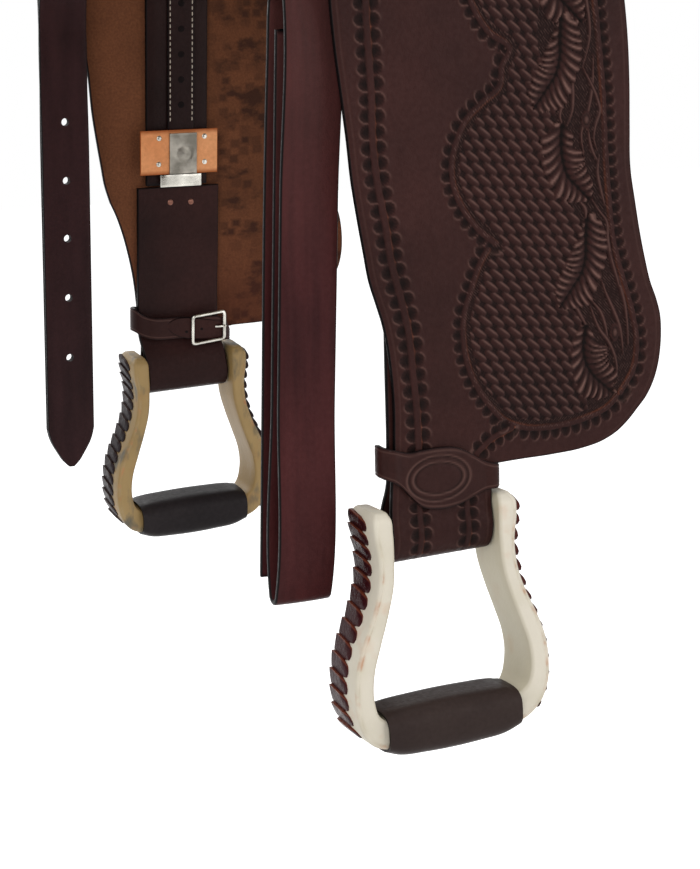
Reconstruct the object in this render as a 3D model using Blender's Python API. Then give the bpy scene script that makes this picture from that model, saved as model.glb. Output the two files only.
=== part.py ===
"""Team roping saddle: tree, seat, skirts, rigging, fenders and stirrups as separate solids.

Frame: +X towards the horse's head, +Y to the near (left) side, +Z up, in metres.
The origin is on the centre line, on the horse's back, at the stirrup line of the tree.
"""
import math

import bmesh
import bpy
from mathutils import Vector

GAP = 0.0003                 # clearance kept between touching pieces
SIDES = {"near": 1.0, "off": -1.0}

# The horse's back under the saddle: one arc on each side of the channel.
BACK_RADIUS = 0.450
BACK_START = 33.0            # slope at the channel edge, degrees
CHANNEL_HALF = 0.030
ROCKER = 0.19                # rise of the tree towards its ends, per metre
TREE_MIDDLE_X = -0.13

# Layers on the back, as heights square to the arc.
FLEECE_TOP = 0.0120
SKIRT_LOW = 0.0126
SKIRT_TOP = 0.0176
BAR_LOW = 0.0184
BAR_TOP = 0.0400
COVER_LOW = 0.0408
STIRRUP_LOOP_TOP = 0.0462
SLOT_LOW = 0.0246
SLOT_HALF = 0.057
SHARED_STEP = 4.0            # layers share rows at these steps of slope, so they nest

# Fenders and stirrup leathers: where they hang and how.
BOLT_Z = -0.6535
BOLT_Y = 0.2832
LEAN = math.radians(3.3)     # the leathers flare outwards as they go down
TILT = math.radians(1.9)     # the stirrup's front edge hangs a little low
HANG_X = {"near": 0.0125, "off": -0.0125}
PANEL_FORWARD = {"near": 0.0, "off": 0.0210}
INNER_FORWARD = {"near": 0.0, "off": 0.0052}
HOBBLE_FRONT = {"near": 0.0440, "off": 0.0478}
HOBBLE_REAR = {"near": (-0.6168, 0.0080), "off": (-0.6197, 0.0052)}
BULGE_DROP = {"near": 0.0, "off": 0.0058}
SWING_Z = -0.150
LEATHER = 0.0045
NECK_HALF = 0.0393
BOLT_RADIUS = 0.0094
FOLD_RADIUS = 0.01225

# Rigging.
DEE_X = 0.103
REAR_DEE_X = -0.300
DEE_Y = 0.2445
DEE_Z = -0.251
DEE_ARC = 0.034
DEE_WIRE = 0.0040
STRAP_THICK = 0.0040
LATIGO_WIDTH = 0.0425
LATIGO_LOW = -0.7040
BILLET_WIDTH = 0.0430
BILLET_TIP = -0.7215
FLANK_TIP = -0.600

# Stirrups.
TREAD_HALF = 0.0525
TREAD_DEPTH = 0.0455

# Seat, fork, horn and cantle.
SEAT_PAD = 0.016
FORK_REAR = 0.0345
FORK_FRONT = 0.1150
HORN_X = 0.075
HORN_BASE_Z = 0.1398
HORN_LEAN = math.radians(12.0)

COLOURS = {
    "brown_leather": ((0.042, 0.017, 0.016), 0.45, 0.0),
    "latigo_leather": ((0.060, 0.014, 0.015), 0.40, 0.0),
    "tan_leather": ((0.600, 0.195, 0.055), 0.55, 0.0),
    "suede": ((0.050, 0.022, 0.017), 0.95, 0.0),
    "sheepskin": ((0.720, 0.640, 0.500), 1.0, 0.0),
    "rawhide": ((0.700, 0.650, 0.540), 0.50, 0.0),
    "tread_leather": ((0.040, 0.022, 0.020), 0.50, 0.0),
    "wood": ((0.420, 0.260, 0.120), 0.60, 0.0),
    "steel": ((0.620, 0.600, 0.560), 0.28, 1.0),
    "rubber": ((0.030, 0.028, 0.027), 0.75, 0.0),
}


def material(key):
    """One Principled material for each colour, made on first use."""
    found = bpy.data.materials.get(key)
    if found:
        return found
    colour, roughness, metallic = COLOURS[key]
    made = bpy.data.materials.new(key)
    made.use_nodes = True
    shader = made.node_tree.nodes["Principled BSDF"]
    shader.inputs["Base Color"].default_value = (*colour, 1.0)
    shader.inputs["Roughness"].default_value = roughness
    shader.inputs["Metallic"].default_value = metallic
    return made


def pivot(name, place, parent=None):
    """An empty on a joint's axis; a moving piece hangs from it."""
    empty = bpy.data.objects.new(name, None)
    bpy.context.collection.objects.link(empty)
    empty.empty_display_size = 0.02
    empty["place"] = tuple(place)
    base = Vector((0.0, 0.0, 0.0))
    if parent:
        empty.parent = parent
        base = Vector(parent["place"])
    empty.location = Vector(place) - base
    return empty


def solid(name, points, faces, key, parent=None):
    """Add one closed body; its origin is its pivot's place."""
    origin = Vector(parent["place"]) if parent else Vector((0.0, 0.0, 0.0))
    mesh = bpy.data.meshes.new(name)
    mesh.from_pydata([Vector(p) - origin for p in points], [], faces)
    work = bmesh.new()
    work.from_mesh(mesh)
    bmesh.ops.recalc_face_normals(work, faces=work.faces)
    if work.calc_volume(signed=True) < 0.0:
        bmesh.ops.reverse_faces(work, faces=work.faces)
    work.to_mesh(mesh)
    work.free()
    mesh.materials.append(material(key))
    mesh.shade_smooth()
    mesh.set_sharp_from_angle(angle=math.radians(35.0))
    piece = bpy.data.objects.new(name, mesh)
    bpy.context.collection.objects.link(piece)
    if parent:
        piece.parent = parent
    return piece


def loft(name, rings, key, parent=None, closed=False):
    """Skin a run of equal rings of points into one body."""
    count = len(rings[0])
    points = [p for ring in rings for p in ring]
    faces = []
    spans = len(rings) if closed else len(rings) - 1
    for i in range(spans):
        a = i * count
        b = ((i + 1) % len(rings)) * count
        for j in range(count):
            k = (j + 1) % count
            faces.append((a + j, a + k, b + k, b + j))
    if not closed:
        faces.append(tuple(reversed(range(count))))
        last = (len(rings) - 1) * count
        faces.append(tuple(range(last, last + count)))
    return solid(name, points, faces, key, parent)


def sleeve(name, outer, inner, key, parent=None):
    """A tube with a bore: outer and inner rings of the same count, open at both ends."""
    count = len(outer[0])
    points = [p for ring in outer for p in ring] + [p for ring in inner for p in ring]
    shift = len(outer) * count
    faces = []
    for i in range(len(outer) - 1):
        for j in range(count):
            k = (j + 1) % count
            a = i * count
            b = a + count
            faces.append((a + j, a + k, b + k, b + j))
            faces.append((shift + a + k, shift + a + j, shift + b + j, shift + b + k))
    for a in (0, (len(outer) - 1) * count):
        for j in range(count):
            k = (j + 1) % count
            faces.append((a + j, a + k, shift + a + k, shift + a + j))
    return solid(name, points, faces, key, parent)


def lift(x):
    """Rise of everything on the tree towards its front and rear ends."""
    return ROCKER * (x - TREE_MIDDLE_X) ** 2


def on_back(x, slope, height):
    """Point on the near side of the horse's back, at a slope angle and a height off it."""
    start = math.radians(BACK_START)
    centre_y = CHANNEL_HALF - BACK_RADIUS * math.sin(start)
    centre_z = -BACK_RADIUS * math.cos(start)
    angle = math.radians(slope)
    reach = BACK_RADIUS + height
    return (x, centre_y + reach * math.sin(angle), centre_z + reach * math.cos(angle) + lift(x))


def back_height(x, y, height):
    """Level of a layer over the back at a given distance from the centre line."""
    start = math.radians(BACK_START)
    centre_y = CHANNEL_HALF - BACK_RADIUS * math.sin(start)
    centre_z = -BACK_RADIUS * math.cos(start)
    reach = BACK_RADIUS + height
    inner = on_back(x, 34.0, height)[1]
    offset = max(abs(y), inner) - centre_y
    return centre_z + math.sqrt(reach * reach - offset * offset) + lift(x)


def blend(a, b, share):
    return a + (b - a) * share


def mirrored(ring, side):
    return [(x, side * y, z) for x, y, z in ring]


def shared_rows(rows):
    """Add rows at the shared steps of slope between those given."""
    full = [rows[0]]
    for first, last in zip(rows, rows[1:]):
        step = math.floor(first[0] / SHARED_STEP) * SHARED_STEP + SHARED_STEP
        while step < last[0] - 0.2:
            if step > first[0] + 0.2:
                share = (step - first[0]) / (last[0] - first[0])
                full.append(tuple(blend(a, b, share) for a, b in zip(first, last)))
            step += SHARED_STEP
        full.append(last)
    return full


def back_panel(name, side, rows, columns, key):
    """A skin over the back: rows of (slope, front x, rear x, low height, high height)."""
    rings = []
    for slope, front, rear, low, high in shared_rows(rows):
        across = [blend(front, rear, i / columns) for i in range(columns + 1)]
        top = [on_back(x, slope, high) for x in across]
        under = [on_back(x, slope, low) for x in reversed(across)]
        rings.append(mirrored(top + under, side))
    return loft(name, rings, key)


def path_normals(path):
    """Unit normals of a path of (y, z) points, to the left of its direction."""
    normals = []
    for i in range(len(path)):
        y0, z0 = path[max(i - 1, 0)]
        y1, z1 = path[min(i + 1, len(path) - 1)]
        dy = y1 - y0
        dz = z1 - z0
        size = math.hypot(dy, dz)
        normals.append((-dz / size, dy / size))
    return normals


def flat(x, y, z, i):
    """Leaves a strap's point where its path puts it."""
    return (x, y, z)


def strap(name, side, path, edges, thick, key, parent=None, columns=1, place=flat):
    """A strap along a path of (y, z) points with its front and rear edge at each point."""
    rings = []
    half = thick / 2.0
    for i, (ny, nz) in enumerate(path_normals(path)):
        y, z = path[i]
        front, rear = edges[i]
        across = [blend(front, rear, j / columns) for j in range(columns + 1)]
        left = [place(x, y + ny * half, z + nz * half, i) for x in across]
        right = [place(x, y - ny * half, z - nz * half, i) for x in reversed(across)]
        rings.append(mirrored(left + right, side))
    return loft(name, rings, key, parent)


def riding(middle, weights):
    """Lets a strap that lies on the tree follow its rise from front to rear."""
    def place(x, y, z, i):
        return (x, y, z + weights[i] * (lift(x) - lift(middle)))
    return place


def bowed_round(centre_x):
    """Curls a strap's cross lines about the dee's centre, so it lies in the bow."""
    def place(x, y, z, i):
        reach = DEE_Z - z
        angle = (x - centre_x) / reach
        return (centre_x + reach * math.sin(angle), y, DEE_Z - reach * math.cos(angle))
    return place


def sheared(middle, drops):
    """Tilts a strap's cross lines, front edge down, about its middle."""
    def place(x, y, z, i):
        return (x, y, z - (x - middle) * drops[i])
    return place


def hang_y(z):
    """Distance of the leathers' plane from the centre line at a level."""
    return BOLT_Y + (BOLT_Z - z) * math.tan(LEAN)


def skirts(side_name, side):
    """The square skirts and the sheepskin under them."""
    outline = [
        (34.2, 0.120, -0.502), (37.0, 0.160, -0.505), (44.0, 0.186, -0.508),
        (52.0, 0.198, -0.508), (60.0, 0.200, -0.506), (66.0, 0.196, -0.498), (70.0, 0.184, -0.482),
        (72.5, 0.166, -0.462), (74.2, 0.140, -0.436), (75.0, 0.110, -0.400),
    ]
    wool = 0.004
    skirt_rows = [(s, f, r, SKIRT_LOW, SKIRT_TOP) for s, f, r in outline]
    fleece_rows = [(s, f + wool, r - wool, 0.0, FLEECE_TOP) for s, f, r in outline]
    last = outline[-1]
    fleece_rows.append((last[0] + 0.45, last[1] - 0.004, last[2] + 0.004, 0.0, FLEECE_TOP))
    back_panel("skirt_" + side_name, side, skirt_rows, 10, "brown_leather")
    back_panel("fleece_" + side_name, side, fleece_rows, 10, "sheepskin")


def tree_bar(side_name, side):
    """One side board of the tree, grooved underneath for the stirrup leather."""
    rows = [
        (34.0, 0.105, -0.395), (36.5, 0.126, -0.425), (43.0, 0.135, -0.440),
        (49.0, 0.128, -0.432), (51.5, 0.108, -0.405),
    ]
    edge = SLOT_HALF
    inner = [0.085, edge + 0.001, edge, 0.0, -edge, -edge - 0.001, -0.160, -0.250, -0.340]
    rings = []
    for slope, front, rear in shared_rows(rows):
        across = [front] + inner + [rear]
        top = [on_back(x, slope, BAR_TOP) for x in across]
        under = []
        for x in reversed(across):
            low = SLOT_LOW if abs(x) <= edge else BAR_LOW
            under.append(on_back(x, slope, low))
        rings.append(mirrored(top + under, side))
    loft("tree_bar_" + side_name, rings, "wood")


def stirrup_loop(side_name, side):
    """The part of the stirrup leather that goes round the bar and stays with the tree."""
    x = HANG_X[side_name]
    under = 0.0213
    over = 0.0436
    back_points = [
        (56.0, 0.0232), (52.0, under), (48.0, under), (44.0, under), (40.0, under), (36.0, under),
        (34.0, 0.0213), (32.0, 0.0262), (31.4, 0.0325), (32.0, 0.0388), (34.0, over), (36.0, over),
        (40.0, over), (44.0, over), (48.0, over), (51.5, over), (53.5, 0.0437),
    ]
    path = [(0.2385, -0.1345), (0.2080, -0.1150)]
    weights = [0.0, 0.4]
    for slope, height in back_points:
        point = on_back(x, slope, height)
        path.append((point[1], point[2]))
        weights.append(1.0)
    path += [(0.212, -0.100), (0.2430, -0.1225)]
    weights += [0.5, 0.0]
    full = x + NECK_HALF
    narrow = min(full, FORK_REAR - 0.0050)
    fronts = [full] * 8 + [blend(full, narrow, i / 4) for i in range(5)] + [narrow] * 6
    fronts += [blend(narrow, full, 0.5), full]
    edges = [(front, x - NECK_HALF) for front in fronts]
    strap("stirrup_loop_" + side_name, side, path, edges, 0.0044, "brown_leather",
          columns=2, place=riding(x, weights))


def chamfered(centre, across, depth_axis, thick, depth, cut):
    """Eight points of a rectangle with cut corners, in a plane given by two unit axes."""
    half = thick / 2.0
    deep = depth / 2.0
    corners = [
        (half - cut, deep), (half, deep - cut), (half, cut - deep), (half - cut, -deep),
        (cut - half, -deep), (-half, cut - deep), (-half, deep - cut), (cut - half, deep),
    ]
    return [tuple(centre + across * a + depth_axis * d) for a, d in corners]


def fork():
    """The wooden fork: an arch over the gullet that swells out on both sides."""
    near_pairs = [
        ((0.080, 0.0302), (0.150, -0.0353)), ((0.078, 0.045), (0.165, 0.008)),
        ((0.069, 0.068), (0.168, 0.052)), ((0.052, 0.087), (0.156, 0.092)),
        ((0.028, 0.097), (0.112, 0.120)), ((0.018, 0.0985), (0.070, 0.1262)),
        ((0.009, 0.0996), (0.034, 0.1312)), ((0.000, 0.100), (0.000, 0.1345)),
    ]
    pairs = near_pairs + [((-iy, iz), (-oy, oz)) for (iy, iz), (oy, oz) in reversed(near_pairs[:-1])]
    wood_rings = []
    cover_rings = []
    rear = FORK_REAR
    front = FORK_FRONT
    last = len(pairs) - 1
    for i, ((inner_y, inner_z), (outer_y, outer_z)) in enumerate(pairs):
        low = Vector((0.0, inner_y, inner_z))
        high = Vector((0.0, outer_y, outer_z))
        outward = (high - low).normalized()
        middle = (low + high) / 2.0 + Vector(((rear + front) / 2.0, 0.0, 0.0))
        width = (high - low).length
        wood_rings.append(chamfered(middle, outward, Vector((1.0, 0.0, 0.0)), width, front - rear, 0.010))
        if i in (0, last):
            # The cover stops a little above the fork's foot.
            (next_in, next_out) = pairs[1] if i == 0 else pairs[-2]
            low = low.lerp(Vector((0.0, *next_in)), 0.10)
            high = high.lerp(Vector((0.0, *next_out)), 0.10)
            outward = (high - low).normalized()
            width = (high - low).length
        cover_rings.append(cover_section(low, outward, width, rear, front))
    loft("fork", wood_rings, "wood")
    loft("swell_cover", cover_rings, "brown_leather")


def cover_section(low, outward, width, rear, front):
    """Open-bottomed leather section that wraps the fork's front, outside and rear."""
    skin = 0.0033
    cut = 0.010
    start = 0.005
    gap = 0.0008

    def place(a, x):
        spot = low + outward * a
        return (x, spot.y, spot.z)

    outside = [
        (start, rear - gap - skin), (width - cut, rear - gap - skin), (width + gap + skin, rear + cut - 0.002),
        (width + gap + skin, front - cut + 0.002), (width - cut, front + gap + skin),
        (start, front + gap + skin),
    ]
    inside = [
        (start, front + gap), (width - cut, front + gap), (width + gap, front - cut),
        (width + gap, rear + cut), (width - cut, rear - gap), (start, rear - gap),
    ]
    return [place(a, x) for a, x in outside + inside]


def turned_rings(base, axis, profile, sides):
    """Rings round an axis for a profile of (radius, distance along the axis)."""
    axis = axis.normalized()
    first = axis.orthogonal().normalized()
    second = axis.cross(first)
    rings = []
    for radius, along in profile:
        ring = []
        for i in range(sides):
            angle = 2.0 * math.pi * i / sides
            offset = first * math.cos(angle) + second * math.sin(angle)
            ring.append(tuple(base + axis * along + offset * radius))
        rings.append(ring)
    return rings


def horn():
    """Steel horn core, the ribbed dally wrap on its neck and the flat cap."""
    base = Vector((HORN_X, 0.0, HORN_BASE_Z))
    axis = Vector((math.sin(HORN_LEAN), 0.0, math.cos(HORN_LEAN)))
    core = 0.0165
    neck_top = 0.0760
    core_profile = [(0.0225, 0.0060), (core, 0.0100), (core, neck_top)]
    loft("horn_core", turned_rings(base, axis, core_profile, 20), "steel")
    bore = core + GAP
    turns = 5
    wrap_low = 0.0125
    pitch = (neck_top - 0.0010 - wrap_low) / turns
    outside = [(bore + 0.0040, wrap_low)]
    for i in range(turns):
        outside.append((0.0265, wrap_low + pitch * (i + 0.25)))
        outside.append((0.0275, wrap_low + pitch * (i + 0.60)))
        outside.append((0.0235, wrap_low + pitch * (i + 1.0)))
    inside = [(bore, along) for _, along in outside]
    sleeve("horn_wrap", turned_rings(base, axis, outside, 20), turned_rings(base, axis, inside, 20), "rubber")
    cap_low = neck_top + GAP
    cap = [
        (0.0210, cap_low), (0.0340, cap_low + 0.0025), (0.0385, cap_low + 0.0075),
        (0.0390, cap_low + 0.0120), (0.0370, cap_low + 0.0160), (0.0320, cap_low + 0.0180),
    ]
    loft("horn_cap", turned_rings(base, axis, cap, 28), "brown_leather")


def bowed(centre, edge, v):
    """Point on a line across the seat, bowed from its centre to its edge."""
    x = blend(centre[0], edge[0], v * v)
    z = blend(centre[1], edge[2], abs(v) ** 2.2)
    return Vector((x, edge[1] * v, z))


SEAT_ROWS = [
    ((0.0210, 0.086), (0.0210, 0.102, 0.039)), ((0.000, 0.076), (0.000, 0.113, 0.029)),
    ((-0.040, 0.067), (-0.040, 0.121, 0.023)), ((-0.052, 0.066), (-0.052, 0.1225, 0.0225)),
    ((-0.100, 0.063), (-0.100, 0.1255, 0.022)), ((-0.160, 0.065), (-0.150, 0.133, 0.024)),
    ((-0.220, 0.070), (-0.200, 0.142, 0.028)), ((-0.280, 0.084), (-0.245, 0.151, 0.034)),
    ((-0.320, 0.107), (-0.280, 0.157, 0.044)), ((-0.345, 0.137), (-0.300, 0.160, 0.054)),
    ((-0.366, 0.166), (-0.312, 0.157, 0.066)), ((-0.374, 0.177), (-0.318, 0.154, 0.073)),
]
SEAT_ACROSS = [-1.0, -0.82, -0.60, -0.36, -0.12, 0.12, 0.36, 0.60, 0.82, 1.0]


def seat_surface(depth):
    """The seat's grid of points, set down by a depth square to its centre line."""
    grid = []
    for i, (centre, edge) in enumerate(SEAT_ROWS):
        before = SEAT_ROWS[max(i - 1, 0)][0]
        after = SEAT_ROWS[min(i + 1, len(SEAT_ROWS) - 1)][0]
        run = Vector((after[0] - before[0], 0.0, after[1] - before[1])).normalized()
        down = Vector((run.z, 0.0, -run.x))
        if down.z > 0.0:
            down = -down
        grid.append([bowed(centre, edge, v) + down * depth for v in SEAT_ACROSS])
    return grid


def seat():
    """The padded seat and the ground seat that fills the space down to the bars."""
    top = seat_surface(0.0)
    under = seat_surface(SEAT_PAD)
    rings = [[tuple(p) for p in a] + [tuple(p) for p in reversed(b)] for a, b in zip(top, under)]
    loft("seat", rings, "suede")
    bed = seat_surface(SEAT_PAD + 0.0006)
    rings = []
    for row in bed[:8]:
        top_row = [Vector((p.x, p.y * 0.97, p.z)) for p in row]
        low = []
        for p in reversed(top_row):
            level = back_height(p.x, p.y, STIRRUP_LOOP_TOP + 0.0012)
            if abs(p.y) < 0.080:
                level = max(level, 0.0465 + lift(p.x) - lift(0.0))
            low.append((p.x, p.y, min(level, p.z - 0.002)))
        rings.append([tuple(p) for p in top_row] + low)
    loft("ground_seat", rings, "brown_leather")


def cantle():
    """The dished cantle board, the leather on its back and the roll along its rim."""
    across = [-1.0, -0.8, -0.6, -0.4, -0.2, 0.0, 0.2, 0.4, 0.6, 0.8, 1.0]
    centre = {
        "front": [(-0.318, 0.058), (-0.3358, 0.097), (-0.3618, 0.132), (-0.3835, 0.160), (-0.3925, 0.1710)],
        "rear": [(-0.4045, 0.1690), (-0.400, 0.155), (-0.384, 0.125), (-0.368, 0.097), (-0.352, 0.058)],
    }
    edge = {
        "front": [(-0.3000, -0.034), (-0.3010, 0.010), (-0.3180, 0.036), (-0.3290, 0.056), (-0.3330, 0.0645)],
        "rear": [(-0.3460, 0.0620), (-0.3455, 0.052), (-0.343, 0.030), (-0.338, 0.006), (-0.330, -0.034)],
    }
    board = []
    skin = []
    half = 0.158
    for v in across:
        ring = []
        for place in ("front", "rear"):
            for (cx, cz), (ex, ez) in zip(centre[place], edge[place]):
                x = blend(cx, ex, v * v)
                z = blend(cz, ez, abs(v) ** 2.2)
                ring.append([x, half * v, z])
        for j in (0, 9):
            x = ring[j][0]
            low = back_height(x, half * v, BAR_TOP + 0.0016)
            if abs(v) < 0.5:
                low = max(low, 0.0440)
            ring[j][2] = low
        board.append([tuple(p) for p in ring])
        skin.append(rear_skin(ring[5:10], half * v))
    loft("cantle", board, "wood")
    loft("cantle_back", skin, "brown_leather")
    roll = []
    steps = 22
    rise = 0.0135
    for i in range(steps + 1):
        v = -1.0 + 2.0 * i / steps
        slope = -2.2 * abs(v) ** 1.2 * math.copysign(0.1710 - 0.0645, v) / half
        outward = Vector((0.0, -slope, 1.0)).normalized()
        x = blend(-0.3985, -0.3390, v * v)
        z = blend(0.1710, 0.0645, abs(v) ** 2.2)
        roll.append(Vector((x, half * v, z)) + outward * rise)
    loft("cantle_roll", tube_rings(roll, 0.0115, 8, Vector((1.0, 0.0, 0.0))), "brown_leather")


def rear_skin(rear, y):
    """Leather on the back of the cantle, just clear of the wood."""
    inner = []
    outer = []
    for x, _, z in rear:
        inner.append((x - 0.0010, y, z))
        outer.append((x - 0.0045, y, z))
    return inner + list(reversed(outer))


def tube_rings(points, radius, sides, up):
    """Rings round an open run of points."""
    rings = []
    for i, p in enumerate(points):
        run = points[min(i + 1, len(points) - 1)] - points[max(i - 1, 0)]
        run.normalize()
        first = run.cross(up).normalized()
        second = run.cross(first)
        ring = []
        for j in range(sides):
            angle = 2.0 * math.pi * (j + 0.5) / sides
            ring.append(tuple(p + first * (radius * math.cos(angle)) + second * (radius * math.sin(angle))))
        rings.append(ring)
    return rings


def wire_loop(name, points, radius, sides, flat_normal, key, parent=None):
    """A closed wire frame lying in one plane."""
    rings = []
    count = len(points)
    for i in range(count):
        run = (points[(i + 1) % count] - points[i - 1]).normalized()
        outward = run.cross(flat_normal).normalized()
        ring = []
        for j in range(sides):
            angle = 2.0 * math.pi * (j + 0.5) / sides
            offset = outward * math.cos(angle) + flat_normal * math.sin(angle)
            ring.append(tuple(points[i] + offset * radius))
        rings.append(ring)
    return loft(name, rings, key, parent, closed=True)


def edge_at(x, side_rows):
    """Height and distance of the seat's edge at a place along it."""
    rows = side_rows
    if x >= rows[0][0]:
        return rows[0][1], rows[0][2]
    for (x0, y0, z0), (x1, y1, z1) in zip(rows, rows[1:]):
        if x >= x1:
            share = (x - x0) / (x1 - x0)
            return blend(y0, y1, share), blend(z0, z1, share)
    return rows[-1][1], rows[-1][2]


def seat_jockey(side_name, side):
    """The leather that comes out from under the seat and covers the fender's top."""
    edges = [edge for _, edge in SEAT_ROWS]
    rows = [
        (0.1285, 0.0100, 0.0190, -0.226, 1.0), (0.150, -0.0130, 0.0200, -0.232, 0.55),
        (0.182, -0.0480, 0.050, -0.234, 0.15), (0.214, -0.0790, 0.092, -0.226, 0.0),
        (0.2450, -0.0980, 0.112, -0.212, 0.0), (0.2648, -0.1140, 0.120, -0.196, 0.0),
        (0.2692, -0.1330, 0.121, -0.182, 0.0), (0.2700, -0.1600, 0.112, -0.164, 0.0),
        (0.2708, -0.1780, 0.094, -0.146, 0.0), (0.2714, -0.1900, 0.068, -0.118, 0.0),
    ]
    columns = 10
    half = 0.0022
    normals = path_normals([(row[0], row[1]) for row in rows])
    rings = []
    for (y, z, front, rear, follow), (ny, nz) in zip(rows, normals):
        top = []
        under = []
        for j in range(columns + 1):
            x = blend(front, rear, j / columns)
            edge_y, edge_z = edge_at(x, edges)
            dy = (edge_y + 0.0055 - rows[0][0]) * follow
            dz = (edge_z - 0.0120 - rows[0][1]) * follow
            top.append((x, y + dy + ny * half, z + dz + nz * half))
            under.append((x, y + dy - ny * half, z + dz - nz * half))
        rings.append(mirrored(top + list(reversed(under)), side))
    loft("seat_jockey_" + side_name, rings, "brown_leather")


def rear_jockey(side_name, side):
    """The leather behind and beside the cantle, over the bar's end and the skirt."""
    half = 0.0020
    on_bar = COVER_LOW + GAP + half
    rows = [
        (33.2, -0.362, -0.462, on_bar), (34.6, -0.362, -0.475, on_bar), (40.0, -0.357, -0.484, on_bar),
        (46.0, -0.347, -0.489, on_bar), (49.6, -0.345, -0.491, on_bar), (50.6, -0.244, -0.492, on_bar),
        (53.2, -0.240, -0.491, on_bar - 0.0010), (55.6, -0.240, -0.489, 0.0300),
        (58.0, -0.242, -0.486, 0.0215), (61.0, -0.248, -0.478, 0.0203), (64.0, -0.262, -0.462, 0.0203),
        (66.0, -0.286, -0.438, 0.0203),
    ]
    panel = [(slope, front, rear, mid - half, mid + half) for slope, front, rear, mid in rows]
    back_panel("rear_jockey_" + side_name, side, panel, 6, "brown_leather")


def dee_points(x, side):
    """The D of a rigging ring: a straight bar on top and a round bow below."""
    shape = [
        (-0.0335, 0.014), (-0.0290, 0.026), (-0.0200, 0.0325), (0.0200, 0.0325),
        (0.0290, 0.026), (0.0335, 0.014),
    ]
    for i in range(9):
        angle = -math.pi * i / 8
        shape.append((DEE_ARC * math.cos(angle), DEE_ARC * math.sin(angle)))
    return [Vector((x + a, side * DEE_Y, DEE_Z + b)) for a, b in shape]


def rigging(side_name, side):
    """Front and rear rigging leathers and the dees that they hold."""
    for place, x in (("front", DEE_X), ("rear", REAR_DEE_X)):
        dee_name = place + "_dee_" + side_name
        wire_loop(dee_name, dee_points(x, side), DEE_WIRE, 6, Vector((0.0, 1.0, 0.0)), "steel")
        start = 53.8 if place == "front" else 67.6
        last = 65.0 if place == "front" else 70.0
        path = []
        weights = [1.0, 1.0, 1.0, 1.0]
        for i in range(4):
            point = on_back(x, blend(start, last, i / 3), 0.0210)
            path.append((point[1], point[2]))
        bar_z = DEE_Z + 0.0325
        turn = 0.0070
        path.append((DEE_Y - turn, bar_z + 0.010))
        for i in range(5):
            angle = math.radians(180.0 + 45.0 * i)
            path.append((DEE_Y + turn * math.cos(angle), bar_z + turn * math.sin(angle)))
        path.append((DEE_Y + turn, bar_z + 0.018))
        if place == "front":
            path += [(0.2490, -0.178), (0.240, -0.152), (0.228, -0.128)]
            wide = [0.050, 0.048, 0.042, 0.032] + [0.0195] * 7 + [0.024, 0.032, 0.038]
        else:
            path += [(0.2500, -0.180), (0.2460, -0.168)]
            wide = [0.034, 0.032, 0.028, 0.022] + [0.0195] * 7 + [0.022, 0.022]
        weights += [0.0] * (len(path) - len(weights))
        edges = [(x + half, x - half) for half in wide]
        strap(place + "_rigging_" + side_name, side, path, edges, 0.0040, "brown_leather",
              columns=2, place=riding(x, weights))


def breast_dee(side_name, side):
    """Small dee at the skirt's front for a breast collar; it flips on its bar."""
    x = 0.168
    slope = 60.0
    seat_point = Vector(on_back(x, slope, SKIRT_TOP + 0.0045))
    seat_point.y *= side
    hinge = pivot("breast_dee_hinge_" + side_name, seat_point)
    normal = Vector((0.0, side * math.sin(math.radians(slope)), math.cos(math.radians(slope))))
    down = Vector((0.0, side * math.cos(math.radians(slope)), -math.sin(math.radians(slope))))
    forward = Vector((1.0, 0.0, 0.0))
    wire = 0.0025
    shape = [(-0.017, 0.0), (0.017, 0.0), (0.018, 0.010)]
    for i in range(1, 6):
        angle = math.pi * i / 6
        shape.append((0.018 * math.cos(angle), 0.012 + 0.018 * math.sin(angle)))
    shape.append((-0.018, 0.010))
    points = [seat_point + forward * a + down * b for a, b in shape]
    wire_loop("breast_dee_" + side_name, points, wire, 6, normal, "steel", hinge)


def latigo():
    """The long near-side tie strap, folded up from its bottom bight in three runs."""
    hinge = pivot("latigo_hinge", (DEE_X, DEE_Y, DEE_Z))
    bar_z = DEE_Z - DEE_ARC
    wrap = 0.0110
    far_y = DEE_Y - wrap
    out_y = DEE_Y + wrap
    fold = 0.0055
    bight = LATIGO_LOW + fold + STRAP_THICK / 2.0
    spread = 0.0055
    path = [(far_y - spread, -0.6895), (far_y - spread, -0.560), (far_y - spread, -0.420),
            (far_y - spread * 0.5, -0.330), (far_y, bar_z)]
    for i in range(1, 6):
        angle = math.radians(180.0 - 30.0 * i)
        path.append((DEE_Y + wrap * math.cos(angle), bar_z + wrap * math.sin(angle)))
    path += [(out_y, bar_z), (out_y, -0.420), (out_y, -0.560), (out_y, bight)]
    for i in range(1, 6):
        angle = math.radians(-30.0 * i)
        path.append((out_y - fold + fold * math.cos(angle), bight + fold * math.sin(angle)))
    path += [(out_y - 2.0 * fold, bight), (out_y - 2.0 * fold, -0.560), (out_y - 2.0 * fold, -0.310)]
    edges = []
    for _, z in path:
        lean = (bar_z - z) * 0.020
        middle = DEE_X - 0.0083 + lean
        edges.append((middle + LATIGO_WIDTH / 2.0, middle - LATIGO_WIDTH / 2.0))
    strap("latigo", 1.0, path, edges, STRAP_THICK, "latigo_leather", hinge, columns=5,
          place=bowed_round(DEE_X))


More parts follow.
